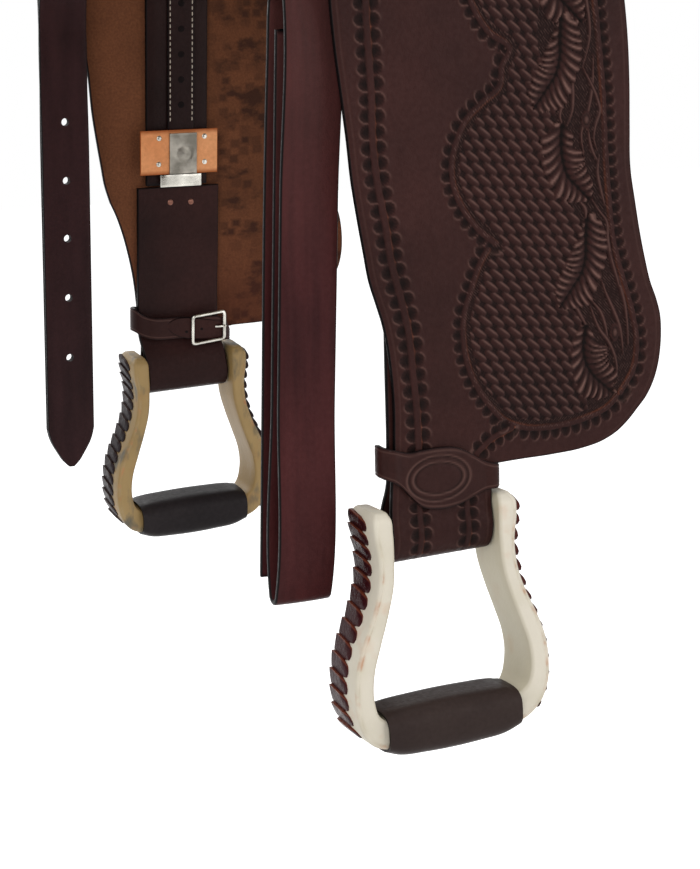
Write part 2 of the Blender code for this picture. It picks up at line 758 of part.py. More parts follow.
def billet(name, side, x_dee, step, tip, lean, key):
    """A doubled strap over a dee, pointed at its lower end."""
    hinge = pivot(name + "_hinge", (x_dee, side * DEE_Y, DEE_Z))
    x = x_dee + step
    bar_z = DEE_Z - DEE_ARC
    ply = 0.0035
    wrap = 0.0068
    gather = bar_z - 0.030
    close = ply / 2.0 + 0.0002
    half = BILLET_WIDTH / 2.0
    levels = [(tip, 0.0025), (tip + 0.012, 0.0120), (tip + 0.025, 0.0190), (tip + 0.035, half), (-0.440, half)]
    path = [(DEE_Y - close, z) for z, _ in levels]
    widths = [w for _, w in levels]
    path += [(DEE_Y - close, gather), (DEE_Y - wrap, bar_z - 0.002)]
    widths += [half, half]
    for i in range(1, 6):
        angle = math.radians(180.0 - 30.0 * i)
        path.append((DEE_Y + wrap * math.cos(angle), bar_z + wrap * math.sin(angle)))
        widths.append(half)
    path += [(DEE_Y + wrap, bar_z - 0.002), (DEE_Y + close, gather)]
    widths += [half, half]
    path += [(DEE_Y + close, z) for z, _ in reversed(levels)]
    widths += [w for _, w in reversed(levels)]
    edges = []
    for (_, z), w in zip(path, widths):
        middle = x + (bar_z - z) * lean
        edges.append((middle + w, middle - w))
    strap(name, side, path, edges, ply, key, hinge, columns=5, place=bowed_round(x_dee))


FENDER_ROWS = [
    (-0.1305, 0.016, -0.026), (-0.1345, 0.036, -0.050), (-0.1420, 0.054, -0.074), (-0.155, 0.066, -0.094),
    (-0.180, 0.0735, -0.112), (-0.220, 0.0780, -0.130), (-0.270, 0.0778, -0.144), (-0.320, 0.0742, -0.1505),
    (-0.350, 0.0705, -0.1518), (-0.378, 0.0670, -0.1520), (-0.408, 0.0640, -0.1526), (-0.432, 0.0603, -0.1565),
    (-0.4554, 0.0562, -0.1608), (-0.4740, 0.0528, -0.1650), (-0.4902, 0.0477, -0.1694), (-0.5030, 0.0437, -0.1745),
    (-0.5139, 0.0413, -0.1776), (-0.5265, 0.0393, -0.1785), (-0.5392, 0.0379, -0.1778), (-0.5510, 0.0370, -0.1757),
    (-0.5620, 0.0366, -0.1719), (-0.5720, 0.0366, -0.1661), (-0.5804, 0.0368, -0.1584), (-0.5880, 0.0369, -0.1509),
    (-0.5949, 0.0370, -0.1420), (-0.6005, 0.0371, -0.1300), (-0.6040, 0.0372, -0.1140), (-0.6060, 0.0374, -0.0890),
    (-0.6068, 0.0376, -0.0600), (-0.6078, NECK_HALF, -NECK_HALF), (-0.6325, NECK_HALF, -NECK_HALF),
]
RUN_OFFSET = 0.00825         # outer run of the leather from the hanging plane
INNER_TOP = -0.478           # top end of the inner run, under the buckle


def fender(side_name, side, swing):
    """The fender: a wide panel, then a neck that wraps the stirrup bolt and comes up inside."""
    x = HANG_X[side_name]
    path = []
    edges = []
    shear = []
    slope = math.tan(TILT)
    for z, front, rear in FENDER_ROWS:
        share = min(max((z + 0.592) / 0.102, 0.0), 1.0)
        forward = blend(0.28, 1.0, share) * PANEL_FORWARD[side_name]
        if z < -0.6070:
            forward = 0.0
        level = z - BULGE_DROP[side_name] * min(max((-0.575 - z) / 0.030, 0.0), 1.0)
        path.append((hang_y(level) + RUN_OFFSET, level))
        edges.append((x + front + forward, x + rear + forward))
        shear.append(0.0)
    path.append((BOLT_Y + FOLD_RADIUS - 0.0012, BOLT_Z + 0.0085))
    edges.append((x + NECK_HALF, x - NECK_HALF))
    shear.append(slope * 0.6)
    for i in range(7):
        angle = math.radians(-30.0 * i)
        path.append((BOLT_Y + FOLD_RADIUS * math.cos(angle), BOLT_Z + FOLD_RADIUS * math.sin(angle)))
        edges.append((x + NECK_HALF, x - NECK_HALF))
        shear.append(slope)
    for z, offset, tilt in ((-0.6440, -0.0110, 0.8), (-0.6365, -0.0084, 0.7), (-0.6295, -0.0050, 0.5),
                            (-0.6225, -0.0012, 0.3), (-0.6150, 0.0014, 0.1), (-0.600, 0.0024, 0.0),
                            (-0.530, 0.0026, 0.0), (INNER_TOP, 0.0026, 0.0)):
        forward = INNER_FORWARD[side_name] * (1.0 - tilt)
        path.append((hang_y(z) + offset, z))
        edges.append((x + NECK_HALF + forward, x - NECK_HALF + forward))
        shear.append(slope * tilt)
    strap("fender_" + side_name, side, path, edges, LEATHER, "brown_leather", swing, columns=4,
          place=sheared(x, shear))


def hanging_plate(name, side, x_front, x_rear, top, bottom, offset, thick, key, parent):
    """A flat plate or strap that hangs parallel to the stirrup leather."""
    rows = [bottom, (bottom + top) / 2.0, top]
    path = [(hang_y(z) + offset, z) for z in rows]
    return strap(name, side, path, [(x_front, x_rear)] * len(rows), thick, key, parent)


def leather_buckle(side_name, side, swing):
    """Stirrup leather and its sleeve buckle: strap, plate, sliding sleeve and keeper."""
    x = HANG_X[side_name]
    top = -0.1310
    sleeve_top = -0.4255
    sleeve_low = -0.4655
    hanging_plate("stirrup_leather_" + side_name, side, x + 0.0361, x - 0.0224, top, INNER_TOP + 0.0020,
                  0.0026, LEATHER, "brown_leather", swing)
    hanging_plate("buckle_strap_" + side_name, side, x + 0.0142, x - 0.0045, top - 0.030, INNER_TOP + 0.0022,
                  -0.0014, 0.0024, "brown_leather", swing)
    hanging_plate("buckle_plate_" + side_name, side, x + 0.0248, x - 0.0150, -0.4662, -0.4770,
                  -0.0048, 0.0020, "steel", swing)
    slide = pivot("buckle_slide_" + side_name, (x, side * hang_y(sleeve_low), sleeve_low), swing)
    hanging_plate("buckle_keeper_" + side_name, side, x + 0.0440, x - 0.0305, sleeve_top, sleeve_low,
                  -0.0047, 0.0020, "tan_leather", slide)
    hanging_plate("buckle_sleeve_" + side_name, side, x + 0.0166, x - 0.0094, sleeve_top - 0.0030,
                  sleeve_low + 0.0003, -0.0069, 0.0015, "steel", slide)


def hobble(side_name, side, swing):
    """The shaped strap that binds the leathers above the stirrup, its free end and its buckle."""
    x = HANG_X[side_name]
    front_y = 0.0128
    back_y = -0.0070
    ahead = HOBBLE_FRONT[side_name]
    rear_z, rear_tall = HOBBLE_REAR[side_name]
    loop = [
        (0.0055, front_y, -0.6130, 0.0215), (0.0180, front_y, -0.6120, 0.0198), (0.0270, front_y, -0.6085, 0.0155),
        (0.0340, front_y, -0.6040, 0.0125), (ahead - 0.0030, 0.0128, -0.6005, 0.0112),
        (ahead, 0.0088, -0.5998, 0.0109), (ahead, -0.0030, -0.6000, 0.0107),
        (ahead - 0.0040, back_y, -0.6034, 0.0104), (0.000, back_y, -0.6095, 0.0100),
        (-0.0390, back_y, -0.6150, 0.0088), (-0.0432, -0.0030, rear_z, rear_tall),
        (-0.0432, 0.0088, rear_z, rear_tall), (-0.0403, 0.0128, rear_z + 0.0006, rear_tall + 0.0006),
        (-0.0310, front_y, -0.6150, 0.0105), (-0.0220, front_y, -0.6140, 0.0150),
        (-0.0100, front_y, -0.6132, 0.0200),
    ]
    half = 0.0017
    rings = []
    count = len(loop)
    for i, (a, b, level, tall) in enumerate(loop):
        a0, b0 = loop[i - 1][:2]
        a1, b1 = loop[(i + 1) % count][:2]
        run = Vector((a1 - a0, b1 - b0, 0.0)).normalized()
        out = Vector((-run.y, run.x, 0.0))
        ring = []
        for side_step, high in ((-half, -tall), (-half, tall), (half, tall), (half, -tall)):
            z = level + high
            ring.append((x + a + out.x * side_step, side * (hang_y(z) + b + out.y * side_step), z))
        rings.append(ring)
    loft("hobble_strap_" + side_name, rings, "brown_leather", swing, closed=True)
    end = [
        (-0.0380, -0.6148, 0.0088), (-0.0200, -0.6120, 0.0095), (0.0020, -0.6090, 0.0098),
        (0.0110, -0.6076, 0.0082), (0.0170, -0.6066, 0.0050), (0.0212, -0.6058, 0.0012),
    ]
    rings = []
    for a, level, tall in end:
        ring = []
        for depth, high in ((0.0020, -tall), (0.0020, tall), (0.0042, tall), (0.0042, -tall)):
            z = level + high
            ring.append((x + a, side * (hang_y(z) + back_y - depth), z))
        rings.append(ring)
    loft("hobble_end_" + side_name, rings, "brown_leather", swing)
    wire = 0.0015
    centre = Vector((x - 0.0197, 0.0, -0.6100))
    corners = [
        (0.0156, 0.0105), (0.0130, 0.0131), (-0.0130, 0.0131), (-0.0156, 0.0105),
        (-0.0156, -0.0105), (-0.0130, -0.0131), (0.0130, -0.0131), (0.0156, -0.0105),
    ]
    points = []
    for a, b in corners:
        z = centre.z + b - a * 0.10
        points.append(Vector((centre.x + a, side * (hang_y(z) + back_y - 0.0061), z)))
    normal = Vector((0.0, side * math.cos(LEAN), math.sin(LEAN)))
    wire_loop("hobble_buckle_" + side_name, points, wire, 6, normal, "steel", swing)


STIRRUP_SIDE = [
    # inner point, outer point and depth, measured from the bolt
    ((0.0428, 0.0215), (0.0530, 0.0220), 0.034), ((0.0415, 0.0175), (0.0552, 0.0180), 0.041),
    ((0.0411, 0.0080), (0.0555, 0.0090), 0.0425), ((0.0411, -0.0100), (0.0530, -0.0110), 0.0425),
    ((0.0427, -0.0300), (0.0548, -0.0310), 0.0425), ((0.0480, -0.0500), (0.0605, -0.0490), 0.0425),
    ((0.0548, -0.0700), (0.0685, -0.0670), 0.0430), ((0.0605, -0.0880), (0.0748, -0.0860), 0.0435),
    ((0.0622, -0.1020), (0.0766, -0.1030), 0.0435), ((0.0612, -0.1120), (0.0755, -0.1190), 0.0430),
    ((0.0585, -0.1195), (0.0705, -0.1330), 0.040), ((0.0530, -0.1250), (0.0610, -0.1435), 0.035),
    ((0.0450, -0.1272), (0.0460, -0.1485), 0.034), ((0.0000, -0.1272), (0.0000, -0.1495), 0.034),
]


def stirrup(side_name, side, swing):
    """Rawhide-covered stirrup: frame, top bolt and the leather on the tread."""
    x = HANG_X[side_name]
    centre = Vector((x, side * BOLT_Y, BOLT_Z))
    hinge = pivot("stirrup_hinge_" + side_name, centre, swing)
    along = Vector((math.cos(TILT), 0.0, -math.sin(TILT)))
    up = Vector((math.sin(TILT) * math.cos(LEAN), -side * math.sin(LEAN), math.cos(TILT) * math.cos(LEAN)))
    depth_axis = along.cross(up).normalized()

    def spot(a, b, d=0.0):
        return centre + along * a + up * b + depth_axis * d

    right = [((-ix, iz), (-ox, oz), d) for (ix, iz), (ox, oz), d in reversed(STIRRUP_SIDE[:-1])]
    rings = []
    for inner, outer, depth in STIRRUP_SIDE + right:
        low = spot(*inner)
        high = spot(*outer)
        across = (high - low).normalized()
        rings.append(chamfered((low + high) / 2.0, across, depth_axis, (high - low).length, depth, 0.0035))
    loft("stirrup_" + side_name, rings, "rawhide", hinge)
    reach = 0.0400
    rod = []
    for a in (-reach, reach):
        ring = []
        for i in range(12):
            angle = 2.0 * math.pi * i / 12
            ring.append(tuple(spot(a, BOLT_RADIUS * math.cos(angle), BOLT_RADIUS * math.sin(angle))))
        rod.append(ring)
    loft("stirrup_bolt_" + side_name, rod, "steel", hinge)
    outer_rings = []
    inner_rings = []
    for a, low, high in ((-1.0, -0.1502, -0.1212), (-0.82, -0.1540, -0.1196), (-0.4, -0.1562, -0.1184),
                         (0.0, -0.1568, -0.1180), (0.4, -0.1562, -0.1184), (0.82, -0.1540, -0.1196),
                         (1.0, -0.1502, -0.1212)):
        here = spot(TREAD_HALF * a, (low + high) / 2.0)
        outer_rings.append(chamfered(here, up, depth_axis, high - low, TREAD_DEPTH, 0.0080))
        slim_low = -0.1500 if abs(a) < 0.9 else -0.1482
        slim_high = -0.1262 if abs(a) < 0.9 else -0.1240
        here = spot(TREAD_HALF * a, (slim_low + slim_high) / 2.0)
        inner_rings.append(chamfered(here, up, depth_axis, slim_high - slim_low, 0.0364, 0.0028))
    sleeve("tread_wrap_" + side_name, outer_rings, inner_rings, "tread_leather", hinge)


def clear_scene():
    for item in list(bpy.data.objects):
        bpy.data.objects.remove(item, do_unlink=True)


def main():
    clear_scene()
    fork()
    horn()
    cantle()
    seat()
    latigo()
    billet("off_billet", -1.0, DEE_X, 0.004, BILLET_TIP, 0.012, "latigo_leather")
    for name, side in SIDES.items():
        skirts(name, side)
        tree_bar(name, side)
        stirrup_loop(name, side)
        seat_jockey(name, side)
        rear_jockey(name, side)
        rigging(name, side)
        breast_dee(name, side)
        billet("flank_billet_" + name, side, REAR_DEE_X, 0.0, FLANK_TIP, 0.0, "brown_leather")
        swing = pivot("fender_swing_" + name, (HANG_X[name], side * hang_y(SWING_Z), SWING_Z))
        fender(name, side, swing)
        leather_buckle(name, side, swing)
        hobble(name, side, swing)
        stirrup(name, side, swing)


main()
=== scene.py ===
"""Looks of the team roping saddle: leather, rawhide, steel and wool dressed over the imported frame.

All places are in metres in the frame's own axes: +X to the horse's head, +Y to the near side.
Drawings of the leather's tooling are in millimetres.
"""
import math

import bmesh
import bpy
import numpy as np
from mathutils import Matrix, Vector


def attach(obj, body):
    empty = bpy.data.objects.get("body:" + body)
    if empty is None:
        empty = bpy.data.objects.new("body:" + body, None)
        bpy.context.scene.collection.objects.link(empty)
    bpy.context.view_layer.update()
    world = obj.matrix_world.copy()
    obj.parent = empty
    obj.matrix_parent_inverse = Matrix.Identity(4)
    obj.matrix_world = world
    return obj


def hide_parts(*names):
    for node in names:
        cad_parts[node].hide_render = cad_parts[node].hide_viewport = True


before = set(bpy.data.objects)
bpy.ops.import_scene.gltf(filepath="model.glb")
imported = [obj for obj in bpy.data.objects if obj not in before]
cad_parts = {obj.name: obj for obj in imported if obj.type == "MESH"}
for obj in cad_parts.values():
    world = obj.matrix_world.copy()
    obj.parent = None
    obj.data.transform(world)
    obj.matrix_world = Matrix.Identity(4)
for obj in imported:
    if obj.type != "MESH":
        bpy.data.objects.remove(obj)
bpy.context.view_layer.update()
SIDES = {"near": 1.0, "off": -1.0}
MM = 0.001

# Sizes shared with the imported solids.
BACK_RADIUS = 0.450
BACK_START = 33.0
CHANNEL_HALF = 0.030
ROCKER = 0.19
TREE_MIDDLE_X = -0.13
BOLT_Z = -0.6535
BOLT_Y = 0.2832
LEAN = math.radians(3.3)
TILT = math.radians(1.9)
HANG_X = {"near": 0.0125, "off": -0.0125}
PANEL_FORWARD = {"near": 0.0, "off": 0.0210}
INNER_FORWARD = {"near": 0.0, "off": 0.0052}
HOBBLE_FRONT = {"near": 0.0440, "off": 0.0478}
HOBBLE_REAR = {"near": (-0.6168, 0.0080), "off": (-0.6197, 0.0052)}
BULGE_DROP = {"near": 0.0, "off": 0.0058}
LEATHER = 0.0045
NECK_HALF = 0.0393
FOLD_RADIUS = 0.01225
RUN_OFFSET = 0.00825
INNER_TOP = -0.478
DEE_X = 0.103
DEE_Y = 0.2445
DEE_Z = -0.251
DEE_ARC = 0.034
TREAD_HALF = 0.0525
TREAD_DEPTH = 0.0455
FLEECE_TOP = 0.0120
SKIRT_LOW = 0.0126
SKIRT_TOP = 0.0176
COVER_LOW = 0.0408

# The stage, the camera and the light.
WHITE = (1.0, 1.0, 1.0, 1.0)
CAMERA_PLACE = (0.67664, 1.55974, -0.23075)
CAMERA_YAW = math.radians(25.05)
CAMERA_PITCH = math.radians(13.84)
CAMERA_LENS = 109.95
SENSOR_WIDTH = 36.0
FLOOR_LEVEL = -1.30
FLOOR_REACH = 6.0
FLOOR_GLOW = 0.80
WORLD_LIGHT = 0.45

# Sizes and steps of the tooling, the sewing and the pieces' edges.
STITCH_SHARE = 0.68
FLUTES = 18.0
FAR = 1e6
HATCH_PITCH = 2.1
FIELD_STAMP = (6.2, 2.8)
FENDER_STAMP = (6.9, 3.0)
LEAF_REACH = 24.0
SPINE_EXTRA = 10
LEAF_PLACES = (("upper", 10, 0.0, 0.0), ("middle", 11, 0.0, 0.0), ("lower", 9, 0.0, 0.0),
               ("upper", 10, 6.0, 122.0), ("middle", 11, 20.0, 138.0))
BORDER_RISE = 0.16
LACE_END = 0.166
ROLL = 0.0011
BACK_STEP = 12
SHARP = math.radians(50.0)
STRAP_ENDS = 0.70


def tone(colour, strength=1.0):
    """A colour written in screen values from 0 to 255, as the shader wants it."""
    values = []
    for part in colour:
        c = part / 255.0
        c = c / 12.92 if c <= 0.04045 else ((c + 0.055) / 1.055) ** 2.4
        values.append(min(c * strength, 1.0))
    return (*values, 1.0)


# Stage, camera and lamps


def camera():
    """The photograph's viewpoint: from the horse's front left, a little above the stirrups."""
    flat = math.cos(CAMERA_PITCH)
    back = Vector((math.sin(CAMERA_YAW) * flat, math.cos(CAMERA_YAW) * flat, math.sin(CAMERA_PITCH)))
    right = Vector((-math.cos(CAMERA_YAW), math.sin(CAMERA_YAW), 0.0))
    data = bpy.data.cameras.new("camera")
    data.sensor_fit = "HORIZONTAL"
    data.sensor_width = SENSOR_WIDTH
    data.lens = CAMERA_LENS
    data.clip_end = 50.0
    made = bpy.data.objects.new("camera", data)
    bpy.context.collection.objects.link(made)
    turn = made.matrix_world.to_3x3()
    for i, axis in enumerate((right, back.cross(right), back)):
        turn[0][i] = axis.x
        turn[1][i] = axis.y
        turn[2][i] = axis.z
    made.matrix_world = turn.to_4x4()
    made.location = CAMERA_PLACE
    bpy.context.scene.camera = made


def lamp(name, place, target, width, height, watts):
    """A soft rectangular lamp, turned to its target."""
    data = bpy.data.lights.new(name, "AREA")
    data.shape = "RECTANGLE"
    data.size = width
    data.size_y = height
    data.energy = watts
    made = bpy.data.objects.new(name, data)
    bpy.context.collection.objects.link(made)
    made.location = place
    made.rotation_euler = (Vector(target) - Vector(place)).to_track_quat("-Z", "Y").to_euler()


def where_seen(tree, plain, seen):
    """Shows one shader to the eye, to mirrors and to glass, and another to all other light."""
    path = tree.nodes.new("ShaderNodeLightPath")
    share = path.outputs["Is Camera Ray"]
    for ray in ("Is Glossy Ray", "Is Transmission Ray"):
        share = node(tree, "ShaderNodeMath", {0: share, 1: path.outputs[ray]},
                     operation="MAXIMUM").outputs[0]
    return node(tree, "ShaderNodeMixShader", {0: share, 1: plain.outputs[0], 2: seen.outputs[0]}).outputs[0]


def stage():
    """White world and a pale floor well below the stirrups."""
    world = bpy.data.worlds.new("studio")
    world.use_nodes = True
    tree = world.node_tree
    soft = tree.nodes["Background"]
    soft.inputs["Color"].default_value = WHITE
    soft.inputs["Strength"].default_value = WORLD_LIGHT
    white = node(tree, "ShaderNodeBackground", {"Color": WHITE, "Strength": 1.0})
    tree.links.new(where_seen(tree, soft, white), tree.nodes["World Output"].inputs["Surface"])
    bpy.context.scene.world = world
    mesh = bpy.data.meshes.new("floor")
    corners = [(FLOOR_REACH * a, FLOOR_REACH * b, FLOOR_LEVEL) for a,
               b in ((-1, -1), (1, -1), (1, 1), (-1, 1))]
    mesh.from_pydata(corners, [], [(0, 1, 2, 3)])
    floor = bpy.data.objects.new("floor", mesh)
    bpy.context.collection.objects.link(floor)
    pale = bpy.data.materials.new("floor")
    pale.use_nodes = True
    tree = pale.node_tree
    shader = tree.nodes["Principled BSDF"]
    shader.inputs["Base Color"].default_value = (0.90, 0.90, 0.90, 1.0)
    shader.inputs["Roughness"].default_value = 1.0
    shader.inputs["Specular IOR Level"].default_value = 0.0
    glow = node(tree, "ShaderNodeEmission", {"Strength": FLOOR_GLOW})
    both = node(tree, "ShaderNodeAddShader", {0: shader.outputs[0], 1: glow.outputs[0]})
    tree.links.new(where_seen(tree, shader, both), tree.nodes["Material Output"].inputs["Surface"])
    mesh.materials.append(pale)
    middle = (-0.02, 0.18, -0.42)
    lamp("key", (1.45, 2.10, 0.75), middle, 1.5, 1.5, 29.0)
    lamp("fill", (-1.35, 2.00, -0.10), middle, 1.4, 1.6, 13.0)
    lamp("top", (0.10, 0.20, 2.10), (-0.05, 0.0, 0.0), 1.8, 1.8, 22.0)
    lamp("back", (0.40, -2.20, 0.40), (-0.05, 0.0, -0.30), 1.8, 1.6, 20.0)
    bpy.context.scene.view_settings.view_transform = "Standard"


# Material helpers


def node(tree, kind, inputs=None, **settings):
    """Adds a shader node, sets its settings and fills or links its inputs."""
    made = tree.nodes.new(kind)
    for key, value in settings.items():
        setattr(made, key, value)
    for key, value in (inputs or {}).items():
        if isinstance(value, bpy.types.NodeSocket):
            tree.links.new(value, made.inputs[key])
        else:
            made.inputs[key].default_value = value
    return made


class Paint:
    """A look in the making: its node tree, its shader, and the colour and bumps laid on so far."""

    def __init__(self, name, roughness=0.5, **sockets):
        self.made = bpy.data.materials.new(name)
        self.made.use_nodes = True
        self.tree = self.made.node_tree
        self.shader = self.tree.nodes["Principled BSDF"]
        self.shader.inputs["Roughness"].default_value = roughness
        for key, value in sockets.items():
            self.shader.inputs[key.replace("_", " ")].default_value = value
        self.place = self.tree.nodes.new("ShaderNodeTexCoord").outputs["Object"]
        self.colour = None
        self.normal = None

    def sums(self, way, first, second):
        return node(self.tree, "ShaderNodeMath", {0: first, 1: second}, operation=way).outputs[0]

    def spread(self, value, low, high, start=0.0, end=1.0):
        """Spreads the range from low to high over another range."""
        inputs = {"Value": value, "From Min": low, "From Max": high, "To Min": start, "To Max": end}
        return node(self.tree, "ShaderNodeMapRange", inputs, clamp=True).outputs[0]

    def stretched(self, stretch):
        """The place that a texture reads, each axis with its own scale when stretch gives them."""
        if stretch is None:
            return self.place
        return node(self.tree, "ShaderNodeMapping", {"Vector": self.place, "Scale": stretch}).outputs[0]

    def speckle(self, scale, detail=3.0, low=0.35, high=0.65, stretch=None):
        """Noise of a scale per metre, spread between a low and a high level."""
        inputs = {"Vector": self.stretched(stretch), "Scale": scale, "Detail": detail}
        return self.spread(node(self.tree, "ShaderNodeTexNoise", inputs).outputs["Fac"], low, high)

    def cells(self, scale, stretch=None, even=1.0, **settings):
        """Distance from the middle of the nearest cell."""
        inputs = {"Vector": self.stretched(stretch), "Scale": scale, "Randomness": even}
        return node(self.tree, "ShaderNodeTexVoronoi", inputs, **settings).outputs["Distance"]

    def marked(self, name, strength=1.0):
        """A mark stored on the mesh, from 0 to 1."""
        mark = node(self.tree, "ShaderNodeAttribute", attribute_name=name).outputs["Fac"]
        return mark if strength == 1.0 else self.sums("MULTIPLY", mark, strength)

    def blend(self, share, first, second):
        inputs = {0: share, 6: first, 7: second}
        self.colour = node(self.tree, "ShaderNodeMix", inputs, data_type="RGBA").outputs[2]

    def cover(self, value, strength, colour, light=1.0):
        """Lays a colour over the colour so far, by a value and a strength."""
        share = value if strength == 1.0 else self.sums("MULTIPLY", value, strength)
        self.blend(share, self.colour, tone(colour, light))

    def cover_marks(self, **colours):
        for mark, colour in colours.items():
            self.cover(self.marked(mark), 1.0, colour)

    def bump(self, height, distance, strength):
        """Lays a bump over the bumps so far."""
        made = node(self.tree, "ShaderNodeBump",
                    {"Height": height, "Distance": distance, "Strength": strength})
        if self.normal is not None:
            self.tree.links.new(self.normal, made.inputs["Normal"])
        self.normal = made.outputs[0]

    def done(self, rough=None):
        """Joins colour, bumps and roughness to the shader."""
        for value, socket in ((self.colour, "Base Color"), (self.normal, "Normal"), (rough, "Roughness")):
            if value is not None:
                self.tree.links.new(value, self.shader.inputs[socket])
        return self.made


def leather(name, dark, light, roughness=0.40, edge=(12, 9, 10), grain=0.00012, streaks=None):
    """Oiled leather: pores, cloudy colour, black dressed edges and the marks of its tooling, among them
    painted highlights and painted shade.
    """
    paint = Paint(name, roughness, Specular_IOR_Level=0.06)
    paint.blend(paint.speckle(11.0, 5.0, 0.30, 0.70), tone(dark), tone(light))
    pores = paint.cells(720.0)
    crumbs = paint.speckle(300.0, 4.0, 0.30, 0.72)
    paint.cover(crumbs, 0.35, dark, 0.60)
    if streaks:
        paint.cover(paint.speckle(1.0, 4.0, 0.35, 0.80, streaks), 0.30, light, 1.7)
    # The pale mark is painted highlight; the darkening of stamps and grooves is partly the leather's own and
    # partly painted shade.
    paint.cover_marks(bead=(112, 60, 40), pale=(118, 88, 80), stamp=(15, 9, 8), raw=(150, 92, 54), edge=edge)
    rough = paint.spread(crumbs, 0.0, 1.0, roughness - 0.05, roughness + 0.10)
    paint.bump(pores, grain * 2.0, 0.35)
    paint.bump(crumbs, grain * 2.5, 0.45)
    return paint.done(paint.sums("ADD", rough, paint.marked("stamp", 0.25)))


def flesh(name, dark, light, stain, blots=0.0):
    """The napped inner face of leather, with darker blots where the oil came through."""
    paint = Paint(name, 0.85, Specular_IOR_Level=0.10)
    paint.blend(paint.speckle(14.0, 6.0, 0.28, 0.72), tone(dark), tone(light))
    nap = paint.speckle(520.0, 3.0, 0.30, 0.70)
    paint.cover(nap, 0.35, stain)
    if blots:
        # Soft square prints in rows, and a few wide smears.
        prints = paint.spread(paint.cells(1.0, (88.0, 1.0, 104.0), 0.6, distance="CHEBYCHEV"), 0.52, 0.16)
        patchy = paint.sums("MULTIPLY", prints, paint.speckle(26.0, 3.0, 0.36, 0.50))
        spots = paint.sums("MAXIMUM", patchy, paint.speckle(1.0, 4.0, 0.53, 0.64, (34.0, 1.0, 52.0)))
        paint.cover(spots, paint.marked("blots", blots), stain)
        paint.cover(paint.marked("red"), 0.35, (74, 34, 26))
    paint.cover_marks(edge=(14, 10, 10))
    paint.bump(nap, 0.0003, 0.5)
    return paint.done()


def rawhide(name, light, stain, orange, inside, blots):
    """Hard glazed rawhide with greenish and orange stains."""
    paint = Paint(name, 0.46, Specular_IOR_Level=0.22, Coat_Weight=0.04, Coat_Roughness=0.30)
    cloud = paint.speckle(26.0, 5.0, 0.42, 0.78)
    paint.blend(paint.sums("MULTIPLY", cloud, 0.55), tone(light), tone(stain))
    paint.cover(paint.speckle(48.0, 6.0, 0.56, 0.80), 0.50, orange)
    if blots:
        paint.cover(paint.speckle(1.0, 8.0, 0.50, 0.64, (60.0, 60.0, 26.0)), blots, (78, 78, 70))
    flecks = paint.speckle(90.0, 5.0, 0.50, 0.62)
    paint.cover(paint.marked("crease"), 0.40, (168, 152, 122))
    paint.cover(flecks, paint.marked("crease", 0.85), (184, 112, 66))
    paint.cover_marks(inside=inside)
    paint.bump(paint.speckle(60.0, 4.0, 0.2, 0.8), 0.0009, 0.35)
    paint.bump(paint.speckle(420.0, 3.0), 0.0002, 0.35)
    return paint.done()


def steel(name, low=(170, 166, 158), high=(216, 213, 206), roughness=0.26):
    """Satin steel with fine scratches and a little tarnish."""
    paint = Paint(name, roughness, Metallic=1.0)
    paint.blend(paint.speckle(70.0, 5.0), tone(low), tone(high))
    lines = paint.speckle(1.0, 2.0, stretch=(60.0, 60.0, 900.0))
    paint.bump(lines, 0.00005, 0.3)
    return paint.done(paint.spread(lines, 0.0, 1.0, roughness - 0.06, roughness + 0.12))


def thread(name, colour):
    """Waxed thread with a fine twist."""
    paint = Paint(name, 0.7)
    fibre = paint.speckle(2400.0, 2.0)
    paint.blend(fibre, tone(colour, 0.55), tone(colour))
    paint.bump(fibre, 0.0001, 0.6)
    return paint.done()


def wool(name):
    """Cream sheepskin, darker between its locks."""
    paint = Paint(name, 0.95, Sheen_Weight=0.35)
    locks = paint.cells(190.0)
    paint.blend(paint.spread(locks, 0.15, 0.75), tone((226, 213, 188)), tone((158, 134, 102)))
    paint.cover(paint.speckle(22.0, 4.0), 0.35, (203, 183, 148))
    paint.bump(locks, -0.0025, 0.8)
    paint.bump(paint.speckle(520.0, 5.0, 0.25, 0.75), 0.0012, 0.7)
    return paint.done()


def suede(name, dark, light):
    """Rough-out leather with brushed patches."""
    paint = Paint(name, 0.92, Sheen_Weight=0.45, Sheen_Roughness=0.5, Sheen_Tint=(0.80, 0.66, 0.58, 1.0))
    paint.blend(paint.speckle(16.0, 6.0, 0.35, 0.65), tone(dark), tone(light))
    nap = paint.speckle(900.0, 3.0, 0.3, 0.7)
    paint.cover(nap, 0.4, dark, 0.5)
    # Darker where the channels are marked: painted shade.
    paint.cover(paint.marked("stamp"), 1.0, dark, 0.5)
    paint.bump(nap, 0.0004, 0.6)
    return paint.done()


def rubber(name):
    """Dusty black rubber."""
    paint = Paint(name, 0.72)
    paint.blend(paint.speckle(45.0, 5.0), tone((24, 23, 23)), tone((44, 42, 41)))
    paint.bump(paint.speckle(900.0, 2.0), 0.0001, 0.5)
    return paint.done()


